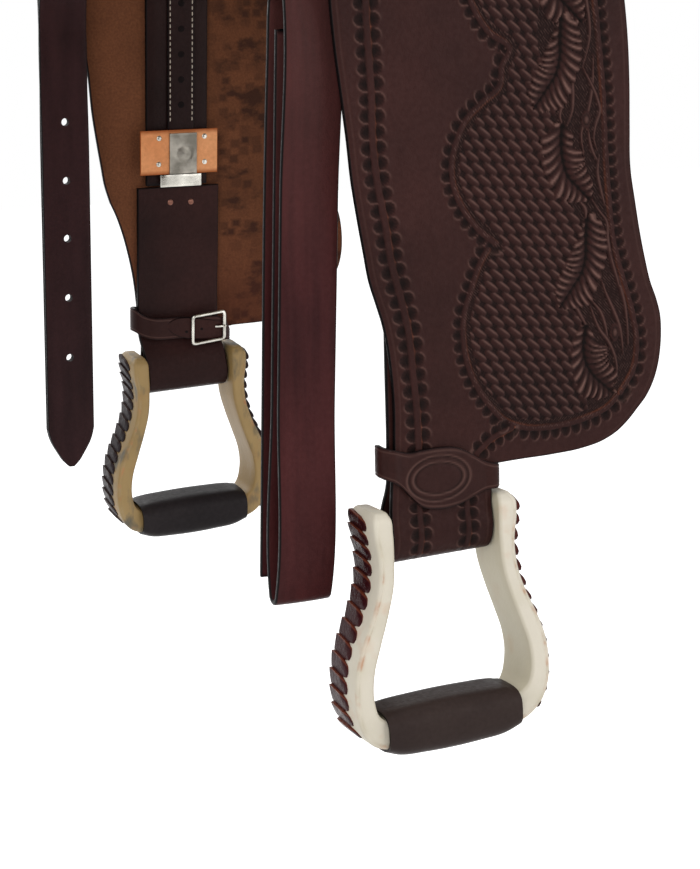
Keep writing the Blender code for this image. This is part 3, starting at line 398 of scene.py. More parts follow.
LOOKS = {
    "brown": leather("brown_oiled", (41, 22, 20), (59, 33, 30), 0.38),
    "fine": leather("brown_smooth", (42, 24, 22), (58, 33, 30), 0.34, grain=0.00008),
    "latigo": leather("latigo_red", (50, 23, 24), (72, 35, 35), 0.36, streaks=(150.0, 150.0, 9.0)),
    "billet": leather("billet_dark", (34, 20, 21), (52, 31, 32), 0.36, streaks=(90.0, 90.0, 14.0)),
    # A darker copy of the brown leather for the off side: painted shade.
    "shaded": leather("brown_shaded", (35, 20, 19), (54, 31, 29), 0.34),
    "narrow": leather("buckle_strap_dark", (28, 17, 16), (42, 26, 25), 0.34),
    "lace_near": leather("lace_red", (40, 12, 16), (64, 21, 24), 0.26, edge=(112, 56, 38)),
    "lace_off": leather("lace_black", (26, 18, 21), (42, 28, 31), 0.34, edge=(58, 42, 38)),
    "tread_near": leather("tread_brown", (48, 38, 36), (61, 50, 46), 0.38, edge=(30, 23, 22), grain=0.00005),
    "tread_off": leather("tread_black", (28, 25, 26), (44, 39, 40), 0.34, edge=(14, 12, 13), grain=0.00005),
    "tan": leather("keeper_tan", (216, 140, 90), (236, 168, 118), 0.48, edge=(150, 78, 38)),
    "flesh": flesh("flesh_side", (86, 50, 31), (108, 65, 40), (60, 35, 24)),
    "flesh_off": flesh("flesh_side_blots", (90, 54, 35), (114, 70, 46), (46, 28, 22), 0.85),
    "hide_near": rawhide("rawhide_white", (216, 208, 192), (196, 189, 166), (204, 160, 126),
                         (178, 168, 136), 0.0),
    "hide_off": rawhide("rawhide_tan", (156, 130, 86), (122, 100, 64), (152, 100, 50), (146, 119, 74), 0.90),
    "steel": steel("steel_satin"),
    "dull": steel("steel_dull", (104, 100, 92), (146, 141, 132), 0.34),
    "bright": steel("steel_bright", (166, 163, 155), (204, 201, 192), 0.24),
    "copper": steel("rivet_copper", (104, 70, 60), (146, 104, 90), 0.40),
    "white_thread": thread("thread_white", (206, 192, 176)),
    "brown_thread": thread("thread_brown", (96, 66, 52)),
    "wool": wool("sheepskin"),
    "suede": suede("seat_suede", (62, 41, 36), (86, 58, 50)),
    "rubber": rubber("horn_rubber"),
    # Near-black: the walls of cut holes, and flat discs that stand for holes as painted shade.
    "dark": leather("hole_wall_and_painted_shade", (14, 9, 9), (20, 13, 13), 0.6),
}


# Geometry helpers


def splined(rows, step, closed=False):
    """A smooth run through rows of numbers, with about one row for every step of length."""
    rows = np.asarray(rows, float)
    if closed:
        rows = np.vstack([rows[-1:], rows, rows[:2]])
    gaps = np.linalg.norm(np.diff(rows, axis=0), axis=1)
    slopes = np.zeros_like(rows)
    for i in range(1, len(rows) - 1):
        before = (rows[i] - rows[i - 1]) / gaps[i - 1]
        after = (rows[i + 1] - rows[i]) / gaps[i]
        slopes[i] = (before * gaps[i] + after * gaps[i - 1]) / (gaps[i - 1] + gaps[i])
    slopes[0] = (rows[1] - rows[0]) / gaps[0]
    slopes[-1] = (rows[-1] - rows[-2]) / gaps[-1]
    out = []
    first, last = (1, len(rows) - 2) if closed else (0, len(rows) - 1)
    for i in range(first, last):
        steps = max(int(math.ceil(gaps[i] / step)), 1)
        t = (np.arange(steps) / steps)[:, None]
        size = gaps[i]
        out.append((2 * t**3 - 3 * t**2 + 1) * rows[i] + (t**3 - 2 * t**2 + t) * size * slopes[i]
                   + (3 * t**2 - 2 * t**3) * rows[i + 1] + (t**3 - t**2) * size * slopes[i + 1])
    if not closed:
        out.append(rows[-1:])
    return np.vstack(out)


def hang_y(z):
    """How far out the stirrup leathers hang at a level."""
    return BOLT_Y + (BOLT_Z - z) * math.tan(LEAN)


def unit(rows):
    """Rows of numbers, each brought to length one."""
    return rows / np.maximum(np.linalg.norm(rows, axis=-1, keepdims=True), 1e-9)


def tangents(path, closed=False):
    """Unit directions along a path of points."""
    if closed:
        return unit(np.roll(path, -1, axis=0) - np.roll(path, 1, axis=0))
    return unit(np.vstack([path[1:2] - path[0:1], path[2:] - path[:-2], path[-1:] - path[-2:-1]]))


def normals(path, closed=False):
    """Unit directions square to a flat path, to the left of its run."""
    run = tangents(path, closed)
    return np.stack([-run[:, 1], run[:, 0]], axis=1)


def lengths(path):
    """Length from the start of a path to each of its points."""
    return np.concatenate([[0.0], np.cumsum(np.linalg.norm(np.diff(path, axis=0), axis=1))])


def arc(y, z, radius, angles):
    """Points (y, z) on an arc, at angles in degrees."""
    turns = [math.radians(angle) for angle in angles]
    return [(y + radius * math.cos(turn), z + radius * math.sin(turn)) for turn in turns]


def piece(name, points, faces, look, body, slot, nodes=(), marks=None, second=None, split=None):
    """Makes one visible piece, hides the imported parts that it stands for and lets it ride on its body."""
    mesh = bpy.data.meshes.new(name)
    mesh.from_pydata(np.asarray(points, float).tolist(), [], faces)
    for key, values in (marks or {}).items():
        layer = mesh.attributes.new(key, "FLOAT", "POINT")
        layer.data.foreach_set("value", np.clip(np.asarray(values, np.float32).ravel(), 0.0, 1.0))
    mesh.materials.append(LOOKS[look])
    if second:
        mesh.materials.append(LOOKS[second])
        index = np.zeros(len(faces), np.int32)
        index[split:] = 1
        mesh.polygons.foreach_set("material_index", index)
    work = bmesh.new()
    work.from_mesh(mesh)
    bmesh.ops.recalc_face_normals(work, faces=work.faces)
    work.to_mesh(mesh)
    work.free()
    mesh.shade_smooth()
    mesh.set_sharp_from_angle(angle=SHARP)
    made = bpy.data.objects.new(name, mesh)
    bpy.context.collection.objects.link(made)
    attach(made, body)
    if nodes:
        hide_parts(*nodes)
    return made


def ring_faces(count, size, closed=False, base=0):
    """Faces between rings of equal size, with a cap at each open end."""
    faces = []
    for i in range(count if closed else count - 1):
        a = base + i * size
        b = base + ((i + 1) % count) * size
        for j in range(size):
            k = (j + 1) % size
            faces.append((a + j, a + k, b + k, b + j))
    if not closed:
        last = base + (count - 1) * size
        faces.append(tuple(range(base + size - 1, base - 1, -1)))
        faces.append(tuple(range(last, last + size)))
    return faces


def sheet_faces(rows, wide):
    """Faces of a front sheet and a back sheet of points, joined round their rim."""
    total = rows * wide
    faces = []
    for i in range(rows - 1):
        for j in range(wide - 1):
            p = i * wide + j
            q = p + total
            faces.append((p, p + 1, p + wide + 1, p + wide))
            faces.append((q + wide, q + wide + 1, q + 1, q))
    rim = list(range(wide)) + [i * wide + wide - 1 for i in range(1, rows)]
    rim += [(rows - 1) * wide + j for j in range(wide - 2, -1, -1)]
    rim += [i * wide for i in range(rows - 2, 0, -1)]
    for p, q in zip(rim, rim[1:] + rim[:1]):
        faces.append((q, p, total + p, total + q))
    return faces


def strap_template(thick, columns, soft=0.35):
    """Ring round a strap: share from front to rear, shift along that line, level, edge mark."""
    cut = thick * soft
    ring = []
    for face in (1.0, -1.0):
        for i in range(columns + 1):
            share = i / columns if face > 0.0 else 1.0 - i / columns
            ring.append((share, cut * (2.0 * share - 1.0), face * thick / 2.0, 0.0))
        for angle in (55.0, 20.0, -20.0, -55.0):
            turn = math.radians(angle * face)
            level = math.copysign(thick / 2.0 - cut, turn) + cut * math.sin(turn)
            ring.append((0.5 + 0.5 * face, face * (cut - cut * math.cos(turn)), level, 1.0))
    return np.array(ring)


def strap(name, path, fronts, rears, thick, look, body, slot, side=1.0, columns=6, nodes=(), place=None,
          soft=0.35, marks=None):
    """A strap with rounded edges along a path of (y, z) points, across X."""
    path = np.asarray(path, float)
    count = len(path)
    normal = normals(path)
    ring = strap_template(thick, columns, soft)
    fronts = np.broadcast_to(np.asarray(fronts, float), (count,))[:, None]
    rears = np.broadcast_to(np.asarray(rears, float), (count,))[:, None]
    x = fronts * (1.0 - ring[:, 0]) + rears * ring[:, 0] + np.sign(fronts - rears) * ring[:, 1]
    shrink = np.ones((count, 1))
    shrink[[0, -1]] = STRAP_ENDS
    level = ring[:, 2] * shrink
    points = np.stack([x, path[:, :1] + normal[:, :1] * level, path[:, 1:] + normal[:, 1:] * level], axis=2)
    if place is not None:
        points = place(points)
    points[:, :, 1] *= side
    edge = np.tile(ring[:, 3], (count, 1))
    edge[[0, -1]] = 1.0
    return piece(name, points.reshape(-1, 3), ring_faces(count, len(ring)), look, body, slot, nodes,
                 {"edge": edge, **(marks or {})})


# Tooling: stamps and carving drawn on a grid of leather, in millimetres


class Tooling:
    """Heights and colour marks on a grid, the marks including painted highlights and painted shade; a runs
    forward, z up, and rows fall in z.
    """

    def __init__(self, a, z):
        self.a = a
        self.z = z
        self.row_z = z.mean(axis=1)
        self.height = np.zeros(a.shape)
        self.marks = {key: np.zeros(a.shape) for key in ("stamp", "bead", "pale", "raw")}

    def put(self, where, height, **marks):
        """Sets the height and some marks where a mask is true."""
        self.height = np.where(where, height, self.height)
        for key, value in marks.items():
            self.marks[key] = np.where(where, value, self.marks[key])

    def deepen(self, key, value):
        """Raises a mark to a value where it is lower."""
        self.marks[key] = np.maximum(self.marks[key], value)

    def window(self, a0, a1, z0, z1):
        """The rows and columns that cover a box."""
        top = max(int(np.searchsorted(-self.row_z, -z1)) - 1, 0)
        low = min(int(np.searchsorted(-self.row_z, -z0)) + 1, len(self.row_z))
        if low <= top:
            return None
        rows = [-self.a[row] for row in (top, low - 1, (top + low) // 2)]
        first = max(min(int(np.searchsorted(row, -a1)) for row in rows) - 1, 0)
        last = min(max(int(np.searchsorted(row, -a0)) for row in rows) + 1, self.a.shape[1])
        if last <= first:
            return None
        return slice(top, low), slice(first, last)

    def follow(self, curve, reach):
        """Signed distance from a curve and the length along it, near the curve."""
        gap = np.full(self.a.shape, FAR)
        run = np.zeros(self.a.shape)
        length = 0.0
        for p, q in zip(curve[:-1], curve[1:]):
            d = q - p
            size = math.hypot(d[0], d[1])
            box = self.window(min(p[0], q[0]) - reach, max(p[0], q[0]) + reach,
                              min(p[1], q[1]) - reach, max(p[1], q[1]) + reach)
            if box is not None:
                a = self.a[box] - p[0]
                z = self.z[box] - p[1]
                t = np.clip((a * d[0] + z * d[1]) / (size * size), 0.0, 1.0)
                here = np.hypot(a - t * d[0], z - t * d[1])
                side = np.where(d[0] * z - d[1] * a >= 0.0, 1.0, -1.0)
                closer = here < np.abs(gap[box])
                gap[box] = np.where(closer, side * here, gap[box])
                run[box] = np.where(closer, length + t * size, run[box])
            length += size
        return gap, run

    def inside(self, outline):
        """Where the grid lies inside a closed outline."""
        hit = np.zeros(self.a.shape, bool)
        for (a0, z0), (a1, z1) in zip(outline, np.roll(outline, -1, axis=0)):
            if z0 != z1:
                crosses = (z0 > self.z) != (z1 > self.z)
                hit ^= crosses & (self.a < (a1 - a0) * (self.z - z0) / (z1 - z0) + a0)
        return hit

    def border(self, curve, bead, depth, pitch, sides):
        """A flat bead with rows of half-round stamps on one or both sides; the cups get painted shade and
        their rims a painted highlight on one side.
        """
        gap, run = self.follow(curve, bead / 2.0 + depth + 2.0)
        on = np.clip((bead / 2.0 - np.abs(gap)) / 0.7, 0.0, 1.0)
        for side in sides:
            out = side * gap - bead / 2.0
            along = (run % pitch) - pitch / 2.0
            r = np.hypot(along / (pitch * 0.47), out / depth)
            cup = (out > -0.4) & (r < 1.0)
            lines = 0.5 + 0.5 * np.cos(np.arctan2(np.maximum(out, 0.0), along) * 15.0)
            deep = -0.78 * np.sqrt(np.clip(1.0 - r**2, 0.0, 1.0)) - 0.10 + 0.16 * lines * r
            shade = np.clip(1.25 - r * 0.60, 0.0, 1.0) * (0.95 - 0.40 * lines * r)
            self.put(cup, np.minimum(self.height, deep), stamp=np.maximum(self.marks["stamp"], shade))
            rim = np.exp(-((r - 1.08) / 0.13) ** 2) * (out > 0.0)
            self.height += 0.20 * rim
            lit = rim * np.clip(0.25 + side * np.sign(sides[0]) * along / pitch, 0.0, 0.6)
            self.deepen("pale", 0.60 * lit)
        self.height = self.height * (1.0 - on) + BORDER_RISE * on
        self.marks["stamp"] *= 1.0 - on
        # A thin orange line along the bead's inner side, stronger and weaker along its run.
        seam = np.exp(-((gap * sides[0] + bead / 2.0) / 0.45) ** 2)
        uneven = 0.55 + 0.45 * np.sin(run * 0.09 + 1.0)
        self.deepen("bead", 0.80 * seam * uneven)

    def weave(self, region, half_long, half_wide):
        """Basket stamps: raised cushions on a slanting lattice with dark gaps and fine hatching; the gaps
        and each cushion's lower side are darkened as painted shade, and its upper side carries a painted
        highlight.
        """
        first = WEAVE_FIRST
        second = WEAVE_SECOND
        det = first[0] * second[1] - first[1] * second[0]
        da = self.a - WEAVE_START[0]
        dz = self.z - WEAVE_START[1]
        u = (da * second[1] - dz * second[0]) / det
        v = (first[0] * dz - first[1] * da) / det
        cos = math.cos(WEAVE_TURN)
        sin = math.sin(WEAVE_TURN)
        best = np.full(self.a.shape, -1.0)
        lit = np.zeros(self.a.shape)
        low = np.zeros(self.a.shape)
        for i in (-1, 0, 1):
            for j in (-1, 0, 1):
                fu = u - np.round(u) + i
                fv = v - np.round(v) + j
                a = fu * first[0] + fv * second[0]
                z = fu * first[1] + fv * second[1]
                x = (a * cos + z * sin) / half_long
                y = (-a * sin + z * cos) / half_wide
                hump = 1.0 - (np.abs(x) ** 2.8 + np.abs(y) ** 2.0)
                better = hump > best
                best = np.where(better, hump, best)
                glint = np.exp(-((y - 0.50) / 0.24) ** 2) * np.clip(1.2 - np.abs(x), 0.0, 1.0)
                lit = np.where(better, glint, lit)
                low = np.where(better, np.clip(-y, 0.0, 1.0), low)
        raised = np.clip(best, 0.0, 1.0)
        hatch = 0.5 + 0.5 * np.cos((da * cos + dz * sin) * (2.0 * math.pi / HATCH_PITCH))
        level = -0.85 + 0.95 * np.sqrt(raised) + np.where(raised <= 0.0, 0.16 * hatch, 0.0)
        gaps = np.clip(1.20 - raised * 2.9, 0.0, 1.0) * (1.0 - 0.45 * hatch)
        # Painted shade in the gaps and on each cushion's lower side, painted highlight along its upper side.
        self.put(region, level, stamp=np.maximum(gaps, 0.55 * low**1.3), pale=0.48 * lit * (raised > 0.12))

    def field(self, rim, where=True):
        """Basket stamps inside a pressed line, which is darkened as painted shade; rim is the distance in
        from the field's edge.
        """
        self.weave(where & (rim > 0.0), *FIELD_STAMP)
        line = np.exp(-(rim + 1.6) ** 2) * where
        self.height -= 0.45 * line
        self.deepen("stamp", 0.8 * line)

    def matte(self, region, seed):
        """Ground matted with fine dots: stained dark, partly as painted shade in the sunken ground, with
        painted highlights on the dots.
        """
        loose = np.random.default_rng(seed).random(self.a.shape)
        wave = np.sin(self.a * 2.9 + 0.6 * np.sin(self.z))
        wave = wave * np.sin(self.z * 3.1 + 0.6 * np.sin(self.a * 1.3))
        cells = np.clip(0.5 + 0.5 * wave + 0.25 * (loose - 0.5), 0.0, 1.0)
        pale = 0.42 * np.clip(cells - 0.65, 0.0, 0.35) / 0.35
        self.put(region, -1.00 + 0.42 * cells, stamp=0.98 - 0.70 * cells, pale=pale, bead=0.0)

    def leaf(self, spine, left, right, ribs):
        """A carved leaf: deep spine, ribs that curl to a scalloped rim, with painted highlights on the
        crests and painted shade in the spine and between the ribs.
        """
        curve = splined(spine, 1.0)
        total = lengths(curve)[-1]
        ahead = unit(curve[-1] - curve[-4])
        # The spine runs on past its end, so that the last ribs stay ribs.
        curve = np.vstack([curve, curve[-1] + ahead * np.arange(1.0, SPINE_EXTRA + 1)[:, None]])
        gap, run = self.follow(curve, LEAF_REACH)
        widths = []
        for points in (left, right):
            dist = np.linalg.norm(splined(points, 1.0)[:, None, :] - curve[None, :, :], axis=2)
            along = np.linspace(0.0, total + SPINE_EXTRA, len(curve))[dist.argmin(axis=1)]
            order = np.argsort(along)
            widths.append(np.interp(run, along[order], dist.min(axis=1)[order]))
        # The left outline lies on the side of the spine where most of its points fall.
        half_way = (len(curve) - SPINE_EXTRA) // 2
        sample = np.asarray(left[len(left) // 2]) - curve[half_way]
        heading = curve[half_way + 1] - curve[half_way]
        flip = heading[0] * sample[1] - heading[1] * sample[0] >= 0.0
        width = np.where((gap >= 0.0) == flip, *widths)
        t = np.abs(gap) / np.maximum(width, 0.5)
        phase = (run - width * (0.85 * t - 0.42 * t**2)) / (total / ribs)
        part = phase - np.floor(phase)
        ridge = np.sqrt(np.clip(1.0 - (2.0 * part - 1.0) ** 2, 0.0, 1.0))
        rim = 0.78 + 0.26 * ridge
        shape = np.vstack([splined(left, 1.0), splined(right, 1.0)[::-1]])
        centre = shape.mean(axis=0)
        on = (t < rim) & self.inside(centre + (shape - centre) * 1.10) & (np.abs(gap) < LEAF_REACH - 1.0)
        body = np.clip(t / rim, 0.0, 1.0)
        envelope = 0.45 + 0.85 * np.sin(np.clip(body * 1.15, 0.0, 1.0) * math.pi * 0.62)
        level = -0.85 + (0.25 + 1.15 * ridge) * envelope
        level -= 0.5 * np.clip((body - 0.90) / 0.10, 0.0, 1.0) ** 2
        groove = np.exp(-(gap / (0.9 + 1.0 * np.clip(1.0 - run / total, 0.0, 1.0))) ** 2)
        dark = np.clip((1.0 - ridge) * 1.05 + groove * 0.95, 0.0, 1.0)
        bright = np.exp(-((part - 0.58) / 0.15) ** 2) * np.clip((body - 0.22) / 0.30, 0.0, 1.0)
        bright = bright * (1.0 - groove)
        bright *= np.clip((1.02 - body) / 0.15, 0.0, 1.0)
        # Painted shade in the grooves and troughs, painted highlight on the crests.
        self.put(on, level * (1.0 - groove) - groove, stamp=dark, pale=0.80 * bright, bead=0.0)

    def stem(self, points, wide):
        """A raised round stem, thinner at both ends, darker at its sides as painted shade and with a painted
        highlight along its top.
        """
        curve = splined(points, 1.0)
        gap, run = self.follow(curve, wide + 2.0)
        taper = 0.35 + 0.65 * np.sin(np.clip(run / lengths(curve)[-1], 0.02, 0.98) * math.pi)
        t = np.abs(gap) / (wide / 2.0 * taper)
        level = -0.35 + 0.85 * np.sqrt(np.clip(1.0 - t**2, 0.0, 1.0))
        self.put(t < 1.0, level, stamp=0.55 * t**2, pale=0.38 * np.clip(1.0 - 1.6 * t, 0.0, 1.0))

    def bud(self, centre, long, wide):
        """An oval boss with a grooved eye: painted shade in the groove and a painted highlight in the
        middle.
        """
        r = np.hypot((self.a - centre[0]) / (wide / 2.0), (self.z - centre[1]) / (long / 2.0))
        ring = np.exp(-((r - 0.58) / 0.14) ** 2)
        level = 0.55 * np.sqrt(np.clip(1.0 - r**2, 0.0, 1.0)) - 0.35 * ring
        self.put(r < 1.0, level, stamp=0.7 * ring, pale=0.35 * np.exp(-(r / 0.4) ** 2))


def carved_panel(name, rows, to_space, thick, draw, step, back_look, body, nodes, back_marks=None):
    """A panel of leather: a fine tooled front, a rolled dark edge and a plain, coarser back.

    rows give (level, front, rear); to_space(a, v, h) gives points h above the middle of the leather.
    """
    rows = np.asarray(rows, float)
    count = len(rows)
    columns = int(math.ceil((rows[:, 1] - rows[:, 2]).max() / step))
    wide = columns + 1
    share = np.arange(wide) / columns
    a = (rows[:, 1] - ROLL)[:, None] * (1.0 - share) + (rows[:, 2] + ROLL)[:, None] * share
    v = np.repeat(rows[:, :1], wide, axis=1)
    tool = Tooling(a / MM, v / MM)
    draw(tool)
    loop = [(0, j) for j in range(wide)] + [(i, columns) for i in range(1, count)]
    loop += [(count - 1, j) for j in range(columns - 1, -1, -1)] + [(i, 0) for i in range(count - 2, 0, -1)]
    rim = np.array(loop)
    edge = np.stack([a, v], axis=2)[rim[:, 0], rim[:, 1]]
    out = -normals(edge, closed=True)
    if ((edge - edge.mean(axis=0)) * out).sum() < 0.0:
        out = -out
    half = thick / 2.0
    size = len(loop)
    sheets = [to_space(a, v, half + tool.height * MM).reshape(-1, 3)]
    base = len(sheets[0])
    rings = ((0.62, half - 0.30 * ROLL), (1.0, half - 1.15 * ROLL), (1.0, -half + 1.15 * ROLL),
             (0.62, -half + 0.30 * ROLL), (0.0, -half))
    for push, level in rings:
        spot = edge + out * (ROLL * push)
        sheets.append(to_space(spot[:, 0], spot[:, 1], np.full(size, level)))
    faces = []
    for start in range(0, (count - 1) * wide, wide):
        faces += [(p, p + 1, p + wide + 1, p + wide) for p in range(start, start + columns)]
    upper = (rim[:, 0] * wide + rim[:, 1]).tolist()
    for r in range(len(rings)):
        lower = list(range(base + r * size, base + (r + 1) * size))
        for k in range(size):
            n = (k + 1) % size
            faces.append((upper[k], upper[n], lower[n], lower[k]))
        upper = lower
    split = len(faces)
    back = dict(zip(loop, upper))
    picks = sorted(set(list(range(0, columns, BACK_STEP)) + [columns]))
    inner = [(i, j) for i in range(1, count - 1) for j in picks[1:-1]]
    back.update(zip(inner, range(base + len(rings) * size, base + len(rings) * size + len(inner))))
    spots = tuple(np.array(inner).T)
    sheets.append(to_space(a[spots], v[spots], np.full(len(inner), -half)))
    for i in range(count - 1):
        for c0, c1 in zip(picks, picks[1:]):
            upper = [back[(i, j)] for j in (range(c0, c1 + 1) if i == 0 else (c0, c1))]
            lower = [back[(i + 1, j)] for j in (range(c0, c1 + 1) if i == count - 2 else (c0, c1))]
            faces.append(tuple(upper + lower[::-1]))
    points = np.vstack(sheets)
    marks = {key: np.zeros(len(points)) for key in (*tool.marks, "edge")}
    for key, grid in tool.marks.items():
        marks[key][:base] = grid.ravel()
    marks["edge"][base:base + 4 * size] = 1.0
    if back_marks:
        marks.update(back_marks(points))
    piece(name, points, faces, "brown", body, "brown_leather", nodes, marks, back_look, split)


# Drawing of the fender's tooling; a is forward of the leathers' middle line, z is the true level

FRONT_LINE = [
    (20.0, -172.0), (36.0, -182.0), (46.0, -200.0), (50.5, -235.0), (51.5, -280.0), (50.2, -320.0),
    (48.6, -349.4), (48.3, -382.8), (45.0, -411.9), (40.0, -438.2), (36.2, -463.9), (30.6, -484.6),
    (24.4, -511.6), (21.9, -537.9), (19.4, -564.4), (18.4, -600.0),
]
LOBES = [
    (-100.0, -214.0), (-74.0, -216.0), (-48.0, -225.0), (-30.0, -243.0), (-23.0, -268.0), (-27.0, -292.0),
    (-40.0, -312.0), (-56.0, -324.0), (-50.0, -335.0), (-48.1, -348.1), (-34.1, -359.0), (-20.9, -371.2),
    (-14.6, -383.6), (-10.5, -398.1), (-11.0, -410.9), (-15.4, -424.0), (-22.9, -435.9), (-32.8, -446.7),
    (-43.6, -455.0),
]
LOW_LOBE = [
    (-37.3, -458.7), (-33.3, -463.9), (-24.5, -483.9), (-18.0, -503.4), (-17.7, -522.0), (-23.5, -544.8),
    (-35.8, -564.9), (-50.7, -579.8), (-64.3, -585.1), (-91.8, -586.8), (-113.2, -583.9), (-134.0, -576.6),
    (-144.1, -567.4),
]
REAR_LINE = [
    (-100.0, -214.0), (-112.0, -222.0), (-118.5, -245.0), (-123.0, -290.0), (-127.0, -325.0),
    (-129.6, -351.6), (-131.9, -395.0), (-134.3, -425.7), (-138.4, -459.7), (-145.0, -482.8),
    (-154.1, -512.0), (-157.5, -531.7), (-155.0, -551.0), (-144.1, -567.4),
]
BRANCH = [(-54.7, -584.5), (-37.8, -591.3), (-26.6, -600.0)]
LEAF_GROUND = [
    (-96.0, -222.0), (-88.0, -250.0), (-80.0, -290.0), (-80.0, -330.0), (-92.0, -350.0), (-91.0, -377.0),
    (-92.0, -384.0), (-94.0, -410.0), (-101.0, -430.0), (-111.0, -440.0), (-112.0, -456.0), (-104.0, -480.0),
    (-102.0, -500.0), (-112.0, -516.0), (-108.0, -530.0), (-108.0, -552.0), (-116.0, -571.0),
    (-118.0, -585.0),
]
LEAVES = {
    "upper": (
        [(-97.2, -376.9), (-96.2, -386.7), (-97.4, -400.6), (-101.3, -411.8), (-109.6, -420.1),
         (-117.4, -427.7)],
        [(-90.0, -378.0), (-82.8, -381.8), (-81.3, -404.8), (-85.1, -413.8), (-92.2, -426.3),
         (-101.8, -430.0), (-114.0, -429.5)],
        [(-100.0, -378.0), (-104.6, -381.6), (-105.9, -392.7), (-112.3, -395.8), (-115.5, -407.0),
         (-121.3, -419.1), (-120.7, -425.5)],
    ),
    "middle": (
        [(-116.5, -442.2), (-115.7, -457.9), (-115.7, -465.9), (-111.6, -480.8), (-104.8, -489.7),
         (-99.8, -496.0)],
        [(-113.0, -446.0), (-107.7, -457.3), (-98.2, -473.5), (-91.4, -486.4), (-90.4, -494.3),
         (-94.0, -500.0)],
        [(-120.0, -441.0), (-125.3, -442.0), (-130.7, -451.2), (-130.0, -478.0), (-124.5, -489.4),
         (-116.9, -502.9), (-107.0, -503.6)],
    ),
    "lower": (
        [(-115.5, -517.3), (-114.5, -523.7), (-113.4, -534.3), (-116.1, -545.2), (-120.9, -552.7),
         (-130.0, -561.0)],
        [(-110.0, -519.0), (-106.0, -524.2), (-102.8, -540.0), (-105.1, -554.8), (-110.5, -566.7),
         (-120.1, -569.6)],
        [(-118.0, -519.0), (-125.0, -529.0), (-131.9, -532.3), (-133.9, -545.0), (-140.8, -553.5),
         (-137.4, -566.0), (-131.8, -567.5)],
    ),
}
STEMS = [
    ([(-96.7, -335.0), (-96.6, -362.0), (-95.0, -371.4), (-97.3, -377.0)], 4.2),
    ([(-104.0, -335.0), (-105.4, -359.6), (-104.6, -367.7), (-100.5, -377.1)], 3.6),
    ([(-122.0, -330.0), (-121.0, -350.0), (-118.0, -366.0), (-112.0, -384.0), (-114.0, -398.0)], 3.4),
    ([(-117.4, -379.2), (-118.9, -388.9), (-121.3, -395.9), (-126.0, -404.0)], 3.2),
    ([(-113.5, -338.0), (-124.7, -358.9), (-127.1, -367.2), (-123.8, -376.7), (-122.2, -387.7),
      (-124.6, -394.7)], 3.4),
    ([(-126.5, -398.0), (-125.0, -410.0), (-127.5, -422.0), (-131.0, -434.0)], 3.6),
    ([(-110.7, -430.0), (-114.7, -434.4), (-115.5, -442.1)], 4.2),
    ([(-120.4, -429.2), (-126.9, -437.9), (-131.8, -443.8), (-133.4, -457.9), (-136.7, -473.7),
      (-141.6, -486.8), (-146.6, -501.4), (-149.1, -517.3), (-150.0, -533.9)], 4.0),
    ([(-128.0, -486.0), (-132.0, -496.0), (-137.0, -506.0), (-143.0, -520.0), (-146.0, -540.0)], 3.6),
    ([(-120.0, -500.0), (-127.0, -508.0), (-131.0, -518.0), (-133.0, -528.0)], 3.4),
    ([(-134.5, -466.0), (-139.0, -480.0), (-143.0, -492.0)], 3.0),
    ([(-104.0, -498.0), (-110.0, -508.0), (-115.5, -517.3)], 4.0),
    ([(-118.5, -503.5), (-126.7, -521.2), (-134.0, -530.5), (-140.0, -544.9), (-141.0, -556.0)], 3.6),
    ([(-88.0, -240.0), (-92.0, -256.0), (-97.0, -275.0), (-96.0, -296.0)], 4.0),
    ([(-112.0, -240.0), (-110.0, -262.0), (-116.0, -290.0), (-119.0, -316.0), (-113.5, -338.0)], 3.6),
    ([(-104.0, -232.0), (-103.0, -250.0), (-108.0, -268.0), (-107.0, -288.0), (-112.0, -306.0)], 3.4),
]
BUDS = [
    ((-116.0, -373.5), 12.0, 8.0), ((-139.0, -524.0), 13.0, 7.5), ((-97.0, -240.0), 15.0, 15.0),
    ((-128.0, -452.0), 9.0, 6.0), ((-104.0, -316.0), 11.0, 8.0),
]
NECK_LINES = ([(17.5, -600.0), (17.5, -700.0)], [(-19.5, -600.0), (-19.5, -700.0)])
WEAVE_FIRST = (-9.38, -0.71)
WEAVE_SECOND = (-4.65, -8.40)
WEAVE_START = (-40.0, -420.0)
WEAVE_TURN = math.radians(37.0)


def draw_fender(tool):
    """The front border, the basket-stamped panel and the vine of leaves along its rear."""
    lobes, low_lobe, rear, branch, front = [splined(line, 1.5)
                                            for line in (LOBES, LOW_LOBE, REAR_LINE, BRANCH,
                                                                             FRONT_LINE)]
    region = tool.inside(np.vstack([lobes, low_lobe, rear[::-1]]))
    ground = splined(LEAF_GROUND, 2.0)
    floral = region & (tool.a < np.interp(-tool.z, -ground[:, 1], ground[:, 0]))
    tool.weave(region, *FENDER_STAMP)
    band = np.min([np.abs(tool.follow(curve, 8.0)[0]) for curve in (lobes, low_lobe, rear)], axis=0)
    tool.matte(region & (band < 5.6), 3)
    tool.matte(floral, 5)
    for points, wide in STEMS:
        tool.stem(points, wide)
    for centre, long, wide in BUDS:
        tool.bud(centre, long, wide)
    for key, ribs, da, dz in LEAF_PLACES:
        tool.leaf(*[[(a + da, z + dz) for a, z in line] for line in LEAVES[key]], ribs)
    tool.border(lobes, 4.5, 6.2, 8.2, (1.0,))
    tool.border(low_lobe, 4.5, 6.2, 8.2, (1.0,))
    tool.border(rear, 4.5, 6.0, 8.4, (-1.0,))
    tool.border(branch, 4.5, 5.6, 8.2, (1.0, -1.0))
    tool.border(front, 5.5, 6.6, 10.5, (1.0, -1.0))


